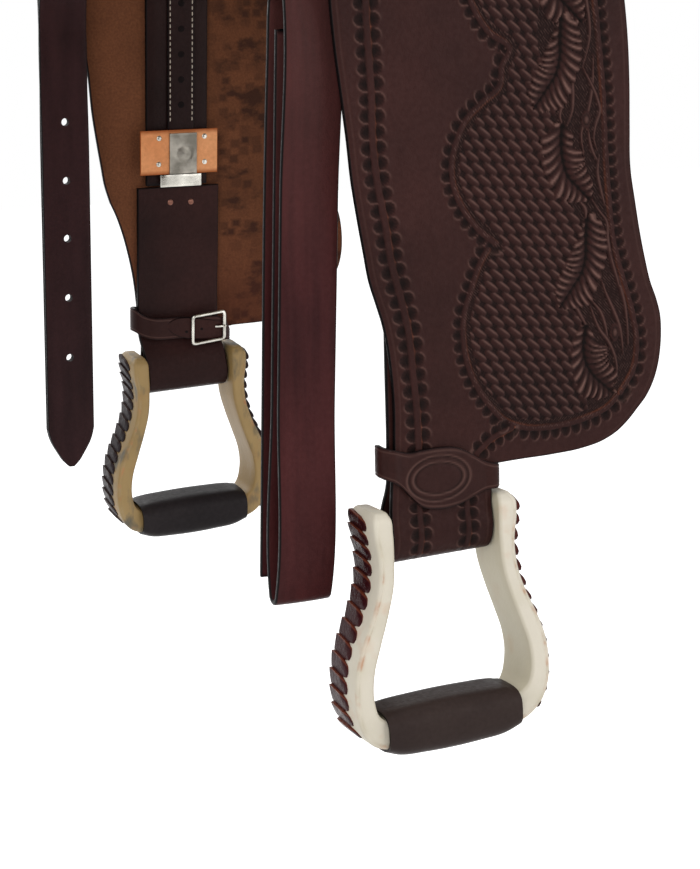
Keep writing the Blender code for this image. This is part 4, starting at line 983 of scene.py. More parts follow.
def crease(tool, distance):
    """A pressed line beside the panel's front and rear edges, with a faint painted highlight along it, and
    the leather's fall towards them.
    """
    for edge in (tool.a[:, :1], tool.a[:, -1:]):
        reach = np.abs(tool.a - edge)
        line = np.exp(-((reach - distance) / 0.55) ** 2)
        plain = tool.marks["stamp"] < 0.05
        tool.height = np.where(plain, tool.height - 0.22 * line, tool.height)
        tool.deepen("pale", 0.10 * line * plain)
        tool.height -= 0.5 * np.clip(1.0 - reach / (distance * 1.4), 0.0, 1.0) ** 2


FENDER_ROWS = [
    (-0.1305, 0.016, -0.026), (-0.1345, 0.036, -0.050), (-0.1420, 0.054, -0.074), (-0.155, 0.066, -0.094),
    (-0.180, 0.0735, -0.112), (-0.220, 0.0780, -0.130), (-0.270, 0.0778, -0.144), (-0.320, 0.0742, -0.1505),
    (-0.350, 0.0705, -0.1518), (-0.378, 0.0670, -0.1520), (-0.408, 0.0640, -0.1526),
    (-0.432, 0.0603, -0.1565), (-0.4554, 0.0562, -0.1608), (-0.4740, 0.0528, -0.1650),
    (-0.4902, 0.0477, -0.1694), (-0.5030, 0.0437, -0.1745), (-0.5139, 0.0413, -0.1776),
    (-0.5265, 0.0393, -0.1785), (-0.5392, 0.0379, -0.1778), (-0.5510, 0.0370, -0.1757),
    (-0.5620, 0.0366, -0.1719), (-0.5720, 0.0366, -0.1661), (-0.5804, 0.0368, -0.1584),
    (-0.5880, 0.0369, -0.1509), (-0.5949, 0.0370, -0.1420), (-0.6005, 0.0371, -0.1300),
    (-0.6040, 0.0372, -0.1140), (-0.6060, 0.0374, -0.0890), (-0.6068, 0.0376, -0.0600),
    (-0.6078, NECK_HALF, -NECK_HALF),
]
PANEL_END = -0.6125
FORWARD = {"near": 0.0025, "off": 0.0}
SLACK = {"near": 0.0034, "off": 0.0010}


def shift_forward(side_name, z):
    """How far a fender's panel lies forward of the leathers' middle at a level."""
    share = np.clip((z + 0.592) / 0.102, 0.0, 1.0)
    return np.where(z < -0.6070, 0.0, (0.28 + 0.72 * share) * PANEL_FORWARD[side_name])


def fender(side_name, side):
    """The tooled panel, and the neck that wraps the stirrup's bolt and comes up inside."""
    x = HANG_X[side_name]
    rows = []
    for z, front, rear in splined(FENDER_ROWS, 0.00125):
        forward = float(shift_forward(side_name, z))
        level = z - BULGE_DROP[side_name] * min(max((-0.575 - z) / 0.030, 0.0), 1.0)
        if not rows or level < rows[-1][0] - 0.00008:
            rows.append((level, front + forward, rear + forward))
    while rows[-1][0] - PANEL_END > 0.0008:
        rows.append((rows[-1][0] - 0.0007, NECK_HALF, -NECK_HALF))

    def to_space(a, z, h):
        y = hang_y(z) + (RUN_OFFSET + h * math.cos(LEAN))
        return np.stack([x + a, side * y, z + h * math.sin(LEAN)], axis=-1)

    def draw(tool):
        drawn = Tooling(tool.a - shift_forward(side_name, tool.z * MM) / MM, tool.z)
        draw_fender(drawn)
        crease(drawn, 3.4)
        tool.height = drawn.height
        tool.marks = drawn.marks

    def blots(points):
        z = points[:, 2]
        ahead = np.clip((points[:, 0] - x + 0.010) / -0.035, 0.0, 1.0)
        return {"blots": ahead * np.clip((-0.24 - z) / 0.08, 0.0, 1.0),
                "red": np.clip((-0.50 - z) / 0.09, 0.0, 1.0)}

    back = "flesh_off" if side_name == "off" else "flesh"
    carved_panel("fender_panel_" + side_name, rows, to_space, LEATHER, draw, 0.00078, back,
                 "fender_" + side_name, ["fender_" + side_name], blots)
    neck(side_name, side, x)


def neck(side_name, side, x):
    """The end of the fender from the hobble, round the bolt and up behind the leathers."""
    slope = math.tan(TILT)
    ahead = FORWARD[side_name] * 0.8
    rows = [(hang_y(PANEL_END) + RUN_OFFSET, PANEL_END, 0.0, 0.0)]
    rows.append((hang_y(-0.6325) + RUN_OFFSET, -0.6325, 0.0, ahead * 0.5))
    rows.append((BOLT_Y + FOLD_RADIUS - 0.0012, BOLT_Z + 0.0085, slope * 0.6, ahead))
    for angle in range(0, -181, -30):
        y, z = arc(BOLT_Y, BOLT_Z, FOLD_RADIUS, [angle])[0]
        rows.append((y, z - SLACK[side_name] * math.sin(math.radians(-angle)), slope, ahead))
    for z, offset, tilt in ((-0.6440, -0.0110, 0.8), (-0.6365, -0.0084, 0.7), (-0.6295, -0.0050, 0.5),
                            (-0.6225, -0.0012, 0.3), (-0.6150, 0.0014, 0.1), (-0.600, 0.0024, 0.0),
                            (-0.530, 0.0026, 0.0), (INNER_TOP, 0.0026, 0.0)):
        rows.append((hang_y(z) + offset, z, slope * tilt, INNER_FORWARD[side_name] * (1.0 - tilt)))
    run = splined(rows, 0.0012)
    path = run[:, :2]
    count = len(path)
    normal = normals(path)
    columns = 84
    ring = strap_template(LEATHER, columns, 0.28)
    a = NECK_HALF * (1.0 - 2.0 * ring[:, 0]) + ring[:, 1]
    top = columns + 1
    lined = 70
    depth = (PANEL_END - lengths(path)[:lined]) / MM
    tool = Tooling(np.tile(a[:top] / MM, (lined, 1)), np.tile(depth[:, None], (1, top)))
    for points in NECK_LINES:
        tool.border(np.array(points, float), 4.6, 5.8, 9.4, (1.0, -1.0))
    crease(tool, 3.4)
    level = np.tile(ring[:, 2], (count, 1))
    fade = np.clip((lined - 1 - np.arange(lined)) / 10.0, 0.0, 1.0)[:, None]
    level[:lined, :top] += tool.height * MM * fade
    # The drawing lies on the outer face, which is the side the path's normal points away from.
    level *= 1.0 if normal[0, 0] > 0.0 else -1.0
    y = path[:, :1] + normal[:, :1] * level
    z = path[:, 1:] + normal[:, 1:] * level - a[None, :] * run[:, 2:3]
    points = np.stack([x + a[None, :] + run[:, 3:], side * y, z], axis=2)
    marks = {"edge": np.tile(ring[:, 3], (count, 1))}
    marks["edge"][-1] = 1.0
    for key, grid in tool.marks.items():
        marks[key] = np.zeros((count, len(ring)))
        marks[key][:lined, :top] = grid * fade
    # The off side's neck takes a darker copy of the brown leather: painted shade.
    look = "brown" if side_name == "near" else "shaded"
    piece("fender_neck_" + side_name, points.reshape(-1, 3), ring_faces(count, len(ring)), look,
          "fender_" + side_name, "brown_leather", marks=marks)


# Stirrups

STIRRUP_SIDE = [
    # inner point, outer point and depth, measured from the bolt
    (0.0428, 0.0215, 0.0530, 0.0220, 0.034), (0.0415, 0.0175, 0.0552, 0.0180, 0.041),
    (0.0411, 0.0080, 0.0555, 0.0090, 0.0425), (0.0411, -0.0100, 0.0530, -0.0110, 0.0425),
    (0.0427, -0.0300, 0.0548, -0.0310, 0.0425), (0.0480, -0.0500, 0.0605, -0.0490, 0.0425),
    (0.0548, -0.0700, 0.0685, -0.0670, 0.0430), (0.0605, -0.0880, 0.0748, -0.0860, 0.0435),
    (0.0622, -0.1020, 0.0766, -0.1030, 0.0435), (0.0612, -0.1120, 0.0755, -0.1190, 0.0430),
    (0.0585, -0.1195, 0.0705, -0.1330, 0.040), (0.0530, -0.1250, 0.0610, -0.1435, 0.035),
    (0.0450, -0.1272, 0.0460, -0.1485, 0.034), (0.0000, -0.1272, 0.0000, -0.1495, 0.034),
]
ARRIS = 0.0026
LACE_PITCH = {"near": 0.0122, "off": 0.0106}
LACES_SHOW = {"near": 0.098, "off": 0.150}


class Stirrup:
    """The stirrup's own axes and the smooth run of sections from one arm's top to the other's."""

    def __init__(self, side_name, side):
        self.centre = np.array([HANG_X[side_name] + FORWARD[side_name], side * BOLT_Y, BOLT_Z])
        self.along = np.array([math.cos(TILT), 0.0, -math.sin(TILT)])
        cos = math.cos(LEAN)
        self.up = np.array([math.sin(TILT) * cos, -side * math.sin(LEAN), math.cos(TILT) * cos])
        self.depth = unit(np.cross(self.along, self.up))
        half = splined(STIRRUP_SIDE, 0.0022)
        other = half[-2::-1] * np.array([-1.0, 1.0, -1.0, 1.0, 1.0])
        self.rows = np.vstack([half, other])

    def spot(self, a, b, d):
        """Places in the frame from distances along the tread, up and through the stirrup."""
        a, b, d = np.broadcast_arrays(a, b, d)
        return self.centre + a[..., None] * self.along + b[..., None] * self.up + d[..., None] * self.depth

    def outer_run(self, mirror):
        """Smooth places along an arm's outer face: length, point, direction out of it and half depth."""
        fine = splined(STIRRUP_SIDE, 0.0006)
        outer = fine[:, 2:4]
        flip = np.array([-1.0 if mirror else 1.0, 1.0])
        return lengths(outer), outer * flip, unit(outer - fine[:, 0:2]) * flip, fine[:, 4] / 2.0


def stirrup(side_name, side):
    """The rawhide-covered frame with its pressed crease, rounded tops and glazed faces."""
    frame_of = Stirrup(side_name, side)
    cut = ARRIS
    bends = [(cut * math.cos(math.radians(t)), cut * math.sin(math.radians(t))) for t in (30.0, 60.0)]
    # Each row: share across the arm, shift, share through the depth, shift there, crease, inner face.
    ring = [(1.0, 0.0, w, -cut * w, 0.0, 0.0) for w in (-1.0, -0.5, 0.0, 0.5, 1.0)]
    ring += [(1.0, -cut + c, 1.0, -cut + s, 0.0, 0.0) for c, s in bends]
    ring += [(u, cut * (1.0 - 2.0 * u), 1.0, 0.0, 0.0, 0.0) for u in (1.0, 0.66, 0.33, 0.0)]
    ring += [(0.0, cut - c, 1.0, -cut + s, 0.0, 0.5) for c, s in bends[::-1]]
    ring += [(0.0, 0.0, w, -cut * w, 0.0, 1.0) for w in (1.0, 0.5, 0.0, -0.5, -1.0)]
    ring += [(0.0, cut - c, -1.0, cut - s, 0.0, 0.4) for c, s in bends]
    ring += [(u, cut * (1.0 - 2.0 * u), -1.0, sink, pressed, 0.0) for u, sink, pressed in (
        (0.0, 0.0, 0.0), (0.20, -0.0003, 0.0), (0.45, -0.0005, 0.0), (0.70, -0.0003, 0.0),
        (0.86, 0.0001, 0.15), (0.94, 0.0004, 0.6), (1.0, 0.0001, 1.0))]
    ring += [(1.0, -cut + c, -1.0, cut - s, 0.5, 0.0) for c, s in bends[::-1]]
    ring = np.array(ring)
    # One more row at each top makes a small bevel round the flat cap.
    rise = np.array([0.0, 0.0008, 0.0, 0.0008, 0.0])
    rows = np.vstack([frame_of.rows[:1] + rise, frame_of.rows, frame_of.rows[-1:] + rise])
    count = len(rows)
    scale = np.ones((count, 1))
    scale[[0, -1]] = 0.90
    inner = rows[:, 0:2]
    outer = rows[:, 2:4]
    width = np.linalg.norm(outer - inner, axis=1)[:, None]
    across = (outer - inner) / width
    middle = (inner + outer) / 2.0
    u = ((ring[:, 0] - 0.5) * width + ring[:, 1]) * scale
    d = (rows[:, 4:] / 2.0 * ring[:, 2] + ring[:, 3]) * scale
    points = frame_of.spot(middle[:, :1] + across[:, :1] * u, middle[:, 1:] + across[:, 1:] * u, d)
    creases = ring[:, 4] * (0.55 + 0.45 * np.sin(np.arange(count) * 0.45))[:, None]
    below = rows[:, 3:4] < 0.012
    inside = np.tile(ring[:, 5] * (0.55 if side_name == "near" else 0.90), count)
    piece("stirrup_hide_" + side_name, points.reshape(-1, 3), ring_faces(count, len(ring)),
          "hide_" + side_name, "stirrup_" + side_name, "rawhide", ["stirrup_" + side_name],
          {"crease": creases * below * 0.8, "inside": inside})
    for mirror in (False, True):
        lacing(side_name, frame_of, mirror)
    tread(side_name, frame_of)


def lacing(side_name, frame_of, mirror):
    """Flat laces across an arm's outer face, lapped like shingles, with round near ends."""
    length, outer, out, half_depth = frame_of.outer_run(mirror)
    far = 0.0185
    near = -0.0198 if mirror else -0.0080
    columns = 9
    spots = 26
    thick = 0.0005
    across = np.linspace(-1.0, 1.0, columns)
    dome = np.sqrt(np.clip(1.0 - across**2, 0.0, 1.0))
    share = np.arange(spots)[:, None] / (spots - 1)
    q = far + (near - far) * share
    # The middle is as wide as the pitch; the near end is a narrower round tab.
    tab = np.clip((share - 0.66) / 0.20, 0.0, 1.0)
    ends = np.minimum((1.0 - share) / 0.13, 1.0)
    lifted = (1.0 - tab) * (0.0011 - 0.0008 * across) + tab * 0.0009 * dome - 0.0006 * (1.0 - ends)
    edge = np.zeros((2 * spots, columns))
    edge[:spots, 0] = 0.25 if mirror else 0.85
    edge[:spots, -1] = 0.15
    edge[spots:] = 0.25
    faces = sheet_faces(spots, columns)
    parts = []
    s0 = 0.0065
    while s0 < LACE_END:
        step = LACE_PITCH[side_name] * (1.0 - 0.20 * min(max((0.050 - s0) / 0.050, 0.0), 1.0))
        low = min(max((s0 - 0.140) / 0.025, 0.0), 1.0)
        proud = 0.0022 * min(max((LACES_SHOW[side_name] - s0) / 0.040, 0.0), 1.0)
        half = step * (0.51 - 0.13 * tab) * (1.0 - 0.25 * low)
        half = half * (1.0 - 0.10 * (1.0 - np.minimum(share / 0.12, 1.0)))
        half = half * np.sqrt(np.maximum(1.0 - (1.0 - ends) ** 2, 0.02))
        s = s0 + 0.0042 * share + across * half
        place = [np.interp(s, length, outer[:, k]) for k in (0, 1)]
        way = unit(np.stack([np.interp(s, length, out[:, k]) for k in (0, 1)], axis=2))
        over = np.maximum(np.abs(q) - (float(np.interp(s0, length, half_depth)) - ARRIS), 0.0)
        sunk = ARRIS - np.sqrt(np.maximum(ARRIS**2 - np.minimum(over, ARRIS * 0.97) ** 2, 0.0))
        rise = thick + lifted - sunk
        if mirror:
            rise = rise + proud * np.clip((share - 0.5) / 0.3, 0.0, 1.0)
        points = []
        for level in (rise, -thick):
            spot = frame_of.spot(place[0] + way[..., 0] * level, place[1] + way[..., 1] * level, q)
            points.append(spot.reshape(-1, 3))
        parts.append(piece("lace_%s_%d_%d" % (side_name, int(mirror), len(parts)), np.vstack(points), faces,
                           "lace_" + side_name, "stirrup_" + side_name, "latigo_leather",
                           marks={"edge": edge}))
        s0 += step
    join("lacing_%s_%s" % ("rear" if mirror else "front", side_name), parts)


def rounded_box(sides):
    """Cosines and sines round a superellipse between a box and an oval."""
    angle = 2.0 * math.pi * np.arange(sides) / sides
    return [np.copysign(np.abs(part) ** 0.62, part) for part in (np.cos(angle), np.sin(angle))]


def tread(side_name, frame_of):
    """The leather sleeve sewn round the tread, pulled in at both ends."""
    ends = [(-1.0, -0.1502, -0.1212), (-0.82, -0.1540, -0.1196), (-0.4, -0.1562, -0.1184),
            (0.0, -0.1568, -0.1180), (0.4, -0.1562, -0.1184), (0.82, -0.1540, -0.1196),
            (1.0, -0.1502, -0.1212)]
    rows = splined([(TREAD_HALF * a, low, high) for a, low, high in ends], 0.0025)
    first = rows[:1]
    last = rows[-1:]
    rows = np.vstack([first, first, rows, last, last, first, last])
    count = len(rows) - 2
    sides = 40
    cos, sin = rounded_box(sides)
    scale = np.ones((count + 2, 1))
    scale[[0, count - 1]] = 0.90
    scale[[1, count - 2]] = 0.965
    scale[count:] = 0.86
    reach = np.ones((count + 2, 1))
    reach[count:] = 0.97
    # Fine puckers along the top, away from the ends.
    puckers = 0.0004 * np.cos(6.0 * 2.0 * math.pi * np.arange(sides) / sides) * (sin > 0.55)
    push = puckers * (np.abs(rows[:, :1]) < 0.9 * TREAD_HALF)
    push[count:] = 0.0
    tall = (rows[:, 2:] - rows[:, 1:2]) / 2.0
    b = (rows[:, 1:2] + rows[:, 2:]) / 2.0 + sin * tall * scale + push
    points = frame_of.spot(rows[:, :1] * reach, b, cos * (TREAD_DEPTH / 2.0) * scale)
    edge = np.zeros((count + 2, sides))
    edge[[0, 1, count - 2, count - 1, count, count + 1]] = 1.0
    faces = ring_faces(count, sides)[:-2]
    base = count * sides
    end = base - sides
    for k in range(sides):
        n = (k + 1) % sides
        faces.append((k, n, base + n, base + k))
        faces.append((end + n, end + k, base + sides + k, base + sides + n))
        faces.append((base + k, base + n, base + sides + n, base + sides + k))
    piece("tread_leather_" + side_name, points.reshape(-1, 3), faces, "tread_" + side_name,
          "stirrup_" + side_name, "tread_leather", ["tread_wrap_" + side_name], {"edge": edge})


# Hobbles


def hobble(side_name, side):
    """The shaped strap round the leathers, its free end, and its wire buckle with a tongue."""
    x = HANG_X[side_name]
    body = "fender_" + side_name
    front_y = 0.0128
    back_y = -0.0070
    ahead = HOBBLE_FRONT[side_name]
    rear_z, rear_tall = HOBBLE_REAR[side_name]
    loop = [
        (0.0055, front_y, -0.6130, 0.0215), (0.0180, front_y, -0.6120, 0.0198),
        (0.0270, front_y, -0.6085, 0.0155), (0.0340, front_y, -0.6040, 0.0125),
        (ahead - 0.0030, front_y, -0.6005, 0.0112), (ahead, 0.0088, -0.5998, 0.0109),
        (ahead, -0.0030, -0.6000, 0.0107), (ahead - 0.0040, back_y, -0.6034, 0.0104),
        (0.000, back_y, -0.6095, 0.0100), (-0.0390, back_y, -0.6150, 0.0088),
        (-0.0432, -0.0030, rear_z, rear_tall), (-0.0432, 0.0088, rear_z, rear_tall),
        (-0.0403, front_y, rear_z + 0.0006, rear_tall + 0.0006), (-0.0310, front_y, -0.6150, 0.0105),
        (-0.0220, front_y, -0.6140, 0.0150), (-0.0100, front_y, -0.6132, 0.0200),
    ]
    rows = splined(loop, 0.0012, closed=True)
    count = len(rows)
    out = normals(rows[:, :2], closed=True)
    if out[0, 1] < 0.0:
        out = -out
    half = 0.0017
    rounded = 0.0009
    columns = 36
    ring = [(1.0 - 2.0 * i / columns, half, 0.0) for i in range(columns + 1)]
    ring += [(-1.0, half * math.sin(math.radians(angle)), 1.0) for angle in (40.0, 0.0, -40.0)]
    ring += [(-1.0 + i / 3.0, -half, 0.0) for i in range(7)]
    ring += [(1.0, half * math.sin(math.radians(angle)), 1.0) for angle in (-40.0, 0.0, 40.0)]
    ring = np.array(ring)
    tall = rows[:, 3:]
    dz = ring[:, 0] * (tall - np.where(ring[:, 2] > 0.0, 0.0, rounded))
    z = rows[:, 2:3] + dz
    level = np.tile(ring[:, 1], (count, 1))
    a = rows[:, :1]
    outer = ring[:, 1] > half - 1e-6
    front = (rows[:, 1:2] > front_y - 0.0004) & outer
    stamp = np.zeros(z.shape)
    pale = np.zeros(z.shape)
    # Bare double oval, pressed into the front, with painted shade in its lines and a painted highlight
    # beside them.
    for long, high in ((0.0230, 0.0150), (0.0180, 0.0105)):
        off = (np.hypot((a - 0.0054) / long, (z + 0.6126) / high) - 1.0) * high
        line = np.exp(-(off / 0.00055) ** 2) * front
        level = level - 0.00038 * line
        stamp = np.maximum(stamp, 0.60 * line)
        pale = np.maximum(pale, 0.35 * np.exp(-((off - 0.0011) / 0.0006) ** 2) * front)
    # A pressed groove inside the outer face's edges, with a painted highlight along it.
    groove = np.exp(-((tall - np.abs(dz) - 0.0022) / 0.0004) ** 2) * outer
    level = level - 0.0003 * groove
    pale = np.maximum(pale, 0.30 * groove)
    y = hang_y(z) + rows[:, 1:2] + out[:, 1:] * level
    points = np.stack([x + a + out[:, :1] * level, side * y, z], axis=2).reshape(-1, 3)
    piece("hobble_leather_" + side_name, points, ring_faces(count, len(ring), closed=True), "fine", body,
          "brown_leather", ["hobble_strap_" + side_name],
          {"edge": np.tile(ring[:, 2] * 0.9, count), "stamp": stamp, "pale": pale})
    tip = splined([(-0.0380, -0.6148, 0.0088), (-0.0200, -0.6120, 0.0095), (0.0020, -0.6090, 0.0098),
                   (0.0110, -0.6076, 0.0082), (0.0170, -0.6066, 0.0050), (0.0212, -0.6058, 0.0012)], 0.0012)
    section = strap_template(0.0022, 8, 0.38)
    z = tip[:, 1:2] + tip[:, 2:] * (1.0 - 2.0 * section[:, 0]) + section[:, 1]
    y = hang_y(z) + back_y - 0.0031 - section[:, 2]
    points = np.stack([np.broadcast_to(x + tip[:, :1], z.shape), side * y, z], axis=2).reshape(-1, 3)
    piece("hobble_tip_" + side_name, points, ring_faces(len(tip), len(section)), "fine", body,
          "brown_leather", ["hobble_end_" + side_name], {"edge": np.tile(section[:, 3] * 0.9, len(tip))})
    hobble_buckle(side_name, side, x, back_y)


def axes_round(axis):
    """Two directions square to an axis, and the axis itself."""
    up = Vector(axis).normalized()
    first = up.orthogonal().normalized()
    return np.array(first), np.array(up.cross(first)), np.array(up)


def rings_round(base, axes, profile, sides, flute=0.0):
    """Rings of points round an axis for a profile of (radius, distance along the axis)."""
    first, second, up = axes
    angle = 2.0 * math.pi * np.arange(sides)[:, None] / sides
    around = (np.cos(angle) * first + np.sin(angle) * second) * (1.0 + flute * np.cos(angle * FLUTES))
    return np.vstack([np.asarray(base, float) + around * radius + up * rise for radius, rise in profile])


def join(name, parts):
    """Joins small pieces of one look and body into one object."""
    target = parts[0]
    work = bmesh.new()
    for part in parts:
        work.from_mesh(part.data)
    mesh = bpy.data.meshes.new(name)
    work.to_mesh(mesh)
    work.free()
    for material in target.data.materials:
        mesh.materials.append(material)
    mesh.shade_smooth()
    mesh.set_sharp_from_angle(angle=SHARP)
    target.data = mesh
    target.name = name
    for part in parts[1:]:
        bpy.data.objects.remove(part, do_unlink=True)


def studs(name, part_names, centres, normal, radius, rise, look, body, slot, ridge=0.0):
    """Domed heads of rivets or screws, or flat dark discs that stand for holes as painted shade, at several
    places.
    """
    profile = [(1.0, -0.3), (1.0, 0.05), (0.92, 0.40), (0.72, 0.74), (0.42, 0.94), (0.15, 1.0 - ridge)]
    profile = [(radius * share, rise * height) for share, height in profile]
    sides = 14
    faces = ring_faces(len(profile), sides)
    parts = []
    for part_name, centre in zip(part_names, centres):
        points = rings_round(centre, axes_round(normal), profile, sides)
        parts.append(piece(part_name, points, faces, look, body, slot))
    join(name, parts)


def tube(line, first, second, radius):
    """Rings of points round a line; radius has a row for each place and a column for each side."""
    angle = 2.0 * math.pi * np.arange(radius.shape[1]) / radius.shape[1]
    cos = np.cos(angle)[None, :, None]
    sin = np.sin(angle)[None, :, None]
    around = cos * first[:, None, :] + sin * second[:, None, :]
    return (line[:, None, :] + radius[:, :, None] * around).reshape(-1, 3)


def wire(name, points, radius, look, body, nodes=(), sides=10, closed=True, taper=1.0):
    """A round steel wire along a run of points."""
    points = np.asarray(points, float)
    run = tangents(points, closed)
    first = unit(np.cross(run, np.array([0.0, 1.0, 0.0])))
    radii = np.broadcast_to(radius * np.asarray(taper, float), (len(points),))
    rings = tube(points, first, np.cross(run, first), np.repeat(radii[:, None], sides, axis=1))
    piece(name, rings, ring_faces(len(points), sides, closed), look, body, "steel", nodes)


def hobble_buckle(side_name, side, x, back_y):
    """The wire frame, the tongue in its hole, and the spare holes of the strap's end as dark discs of
    painted shade.
    """
    body = "fender_" + side_name
    corner = [(0.0156, 0.0080), (0.0156, 0.0105), (0.0149, 0.0124), (0.0130, 0.0131), (0.0100, 0.0131)]
    upper = corner + [(-a, b) for a, b in reversed(corner)]
    outline = upper + [(a, -b) for a, b in reversed(upper)]

    def spot(a, b, off):
        z = -0.6100 + b - a * 0.10
        return (x - 0.0197 + a, side * (hang_y(z) + back_y - off), z)

    frame_points = splined([spot(a, b, 0.0061) for a, b in outline], 0.0016, closed=True)
    wire("hobble_frame_" + side_name, frame_points, 0.00165, "bright", body, ["hobble_buckle_" + side_name])
    # The tongue comes out of its hole and rests on the frame's rear bar.
    run = [spot(-0.0080 - i * 0.0011, -0.0008, 0.0040 + 0.0045 * math.sin(math.pi * i / 16))
           for i in range(9)]
    wire("hobble_tongue_" + side_name, run, 0.0011, "bright", body, closed=False,
         taper=[1.1] + [1.0] * 6 + [0.85, 0.60])
    # The spare holes are flat dark discs: painted shade, not cut through.
    centres = [spot(0.0212 - 0.0150 * number, -0.0004, 0.0042) for number in range(3)]
    studs("hobble_hole_shades_" + side_name, ["hobble_hole_%s_%d" % (side_name, i) for i in range(3)], centres,
          (0.0, -side, 0.0), 0.0014, 0.00012, "dark", body, "brown_leather")


# Straps that hang from the dees


def bowed_round(centre_x):
    """Curls a strap's cross lines about the dee's centre, so it lies in the bow."""
    def place(points):
        x = points[:, :, 0]
        z = points[:, :, 2]
        reach = DEE_Z - z
        angle = (x - centre_x) / reach
        points[:, :, 0] = centre_x + reach * np.sin(angle)
        points[:, :, 2] = DEE_Z - reach * np.cos(angle)
        return points
    return place


def latigo():
    """The long near-side strap, put away in three runs from its bottom fold."""
    thick = 0.0040
    bar_z = DEE_Z - DEE_ARC
    wrap = 0.0110
    far_y = DEE_Y - wrap
    out_y = DEE_Y + wrap
    fold = 0.0055
    half = 0.0425 / 2.0
    bight = -0.7040 + fold + thick / 2.0
    rows = [(far_y - fold, z) for z in (-0.6895, -0.560, -0.420)]
    rows += [(far_y - fold * 0.5, -0.330), (far_y, bar_z)]
    rows += arc(DEE_Y, bar_z, wrap, (150.0, 120.0, 90.0, 60.0, 30.0))
    rows += [(out_y, z) for z in (bar_z, -0.420, -0.560, bight)]
    rows += arc(out_y - fold, bight, fold, (-30.0, -60.0, -90.0, -120.0, -150.0))
    rows += [(out_y - 2.0 * fold, z) for z in (bight, -0.560, -0.310)]
    path = splined(rows, 0.0035)
    middle = DEE_X - 0.0083 + (bar_z - path[:, 1]) * 0.020
    # The strap is painted paler towards its top: painted light, as if lit from above.
    light = np.clip((path[:, 1] + 0.48) / 0.14, 0.0, 1.0)
    columns = 10
    marks = {"pale": np.repeat(light * 0.10, len(strap_template(thick, columns)))}
    strap("latigo_strap", path, middle + half, middle - half, thick, "latigo", "latigo", "latigo_leather",
          columns=columns, nodes=["latigo"], place=bowed_round(DEE_X), soft=0.30, marks=marks)


def billet(name, side, x_dee, step, tip, lean, look, slot, holes):
    """A doubled strap over a dee, pointed at its lower end, with punched holes."""
    x = x_dee + step
    bar_z = DEE_Z - DEE_ARC
    ply = 0.0035
    wrap = 0.0068
    gather = bar_z - 0.030
    close = ply / 2.0 + 0.0002
    half = 0.0215
    levels = [(tip, 0.0025), (tip + 0.0055, 0.0078), (tip + 0.012, 0.0120), (tip + 0.025, 0.0190),
              (tip + 0.035, half), (tip + 0.060, half), (-0.440, half)]
    rows = [(DEE_Y - close, z, w) for z, w in levels]
    rows += [(DEE_Y - close, gather, half), (DEE_Y - wrap, bar_z - 0.002, half)]
    rows += [(y, z, half) for y, z in arc(DEE_Y, bar_z, wrap, (150.0, 120.0, 90.0, 60.0, 30.0))]
    rows += [(DEE_Y + wrap, bar_z - 0.002, half), (DEE_Y + close, gather, half)]
    rows += [(DEE_Y + close, z, w) for z, w in reversed(levels)]
    run = splined(rows, 0.0030)
    wide = np.clip(run[:, 2], 0.0015, half)
    middle = x + (bar_z - run[:, 1]) * lean
    made = strap(name + "_strap", run[:, :2], middle + wide, middle - wide, ply, look, name, slot, side=side,
                 columns=10, nodes=[name], place=bowed_round(x_dee), soft=0.30)
    punch(made, [(x + (bar_z - z) * lean, side * DEE_Y, z) for z in holes], 0.0034)


def punch(target, centres, radius):
    """Cuts round holes through a strap, across Y."""
    sides = 20
    angle = 2.0 * math.pi * np.arange(sides) / sides
    points = []
    faces = []
    for number, (x, y, z) in enumerate(centres):
        faces += ring_faces(2, sides, base=2 * sides * number)
        for reach in (-0.02, 0.02):
            points += [(x + radius * math.cos(t), y + reach, z + radius * math.sin(t)) for t in angle]
    mesh = bpy.data.meshes.new("cutter")
    mesh.from_pydata(points, [], faces)
    work = bmesh.new()
    work.from_mesh(mesh)
    bmesh.ops.recalc_face_normals(work, faces=work.faces)
    work.to_mesh(mesh)
    work.free()
    mesh.materials.append(LOOKS["dark"])
    cutter = bpy.data.objects.new("cutter", mesh)
    bpy.context.collection.objects.link(cutter)
    target.data.materials.append(LOOKS["dark"])
    change = target.modifiers.new("holes", "BOOLEAN")
    change.object = cutter
    change.operation = "DIFFERENCE"
    change.solver = "MANIFOLD"
    change.material_mode = "TRANSFER"
    tree = bpy.context.evaluated_depsgraph_get()
    cut_mesh = bpy.data.meshes.new_from_object(target.evaluated_get(tree))
    target.modifiers.clear()
    target.data = cut_mesh
    bpy.data.objects.remove(cutter, do_unlink=True)


# The stirrup leather and its sleeve buckle


def plate(name, side, x_front, x_rear, top, bottom, offset, thick, look, body, slot, nodes, columns=6,
          soft=0.30, step=0.004):
    """A flat piece that hangs parallel to the stirrup leather."""
    levels = np.append(np.arange(bottom, top - 0.25 * step, step), top)
    path = [(hang_y(z) + offset, z) for z in levels]
    strap(name, path, x_front, x_rear, thick, look, body, slot, side=side, columns=columns, nodes=nodes,
          soft=soft)


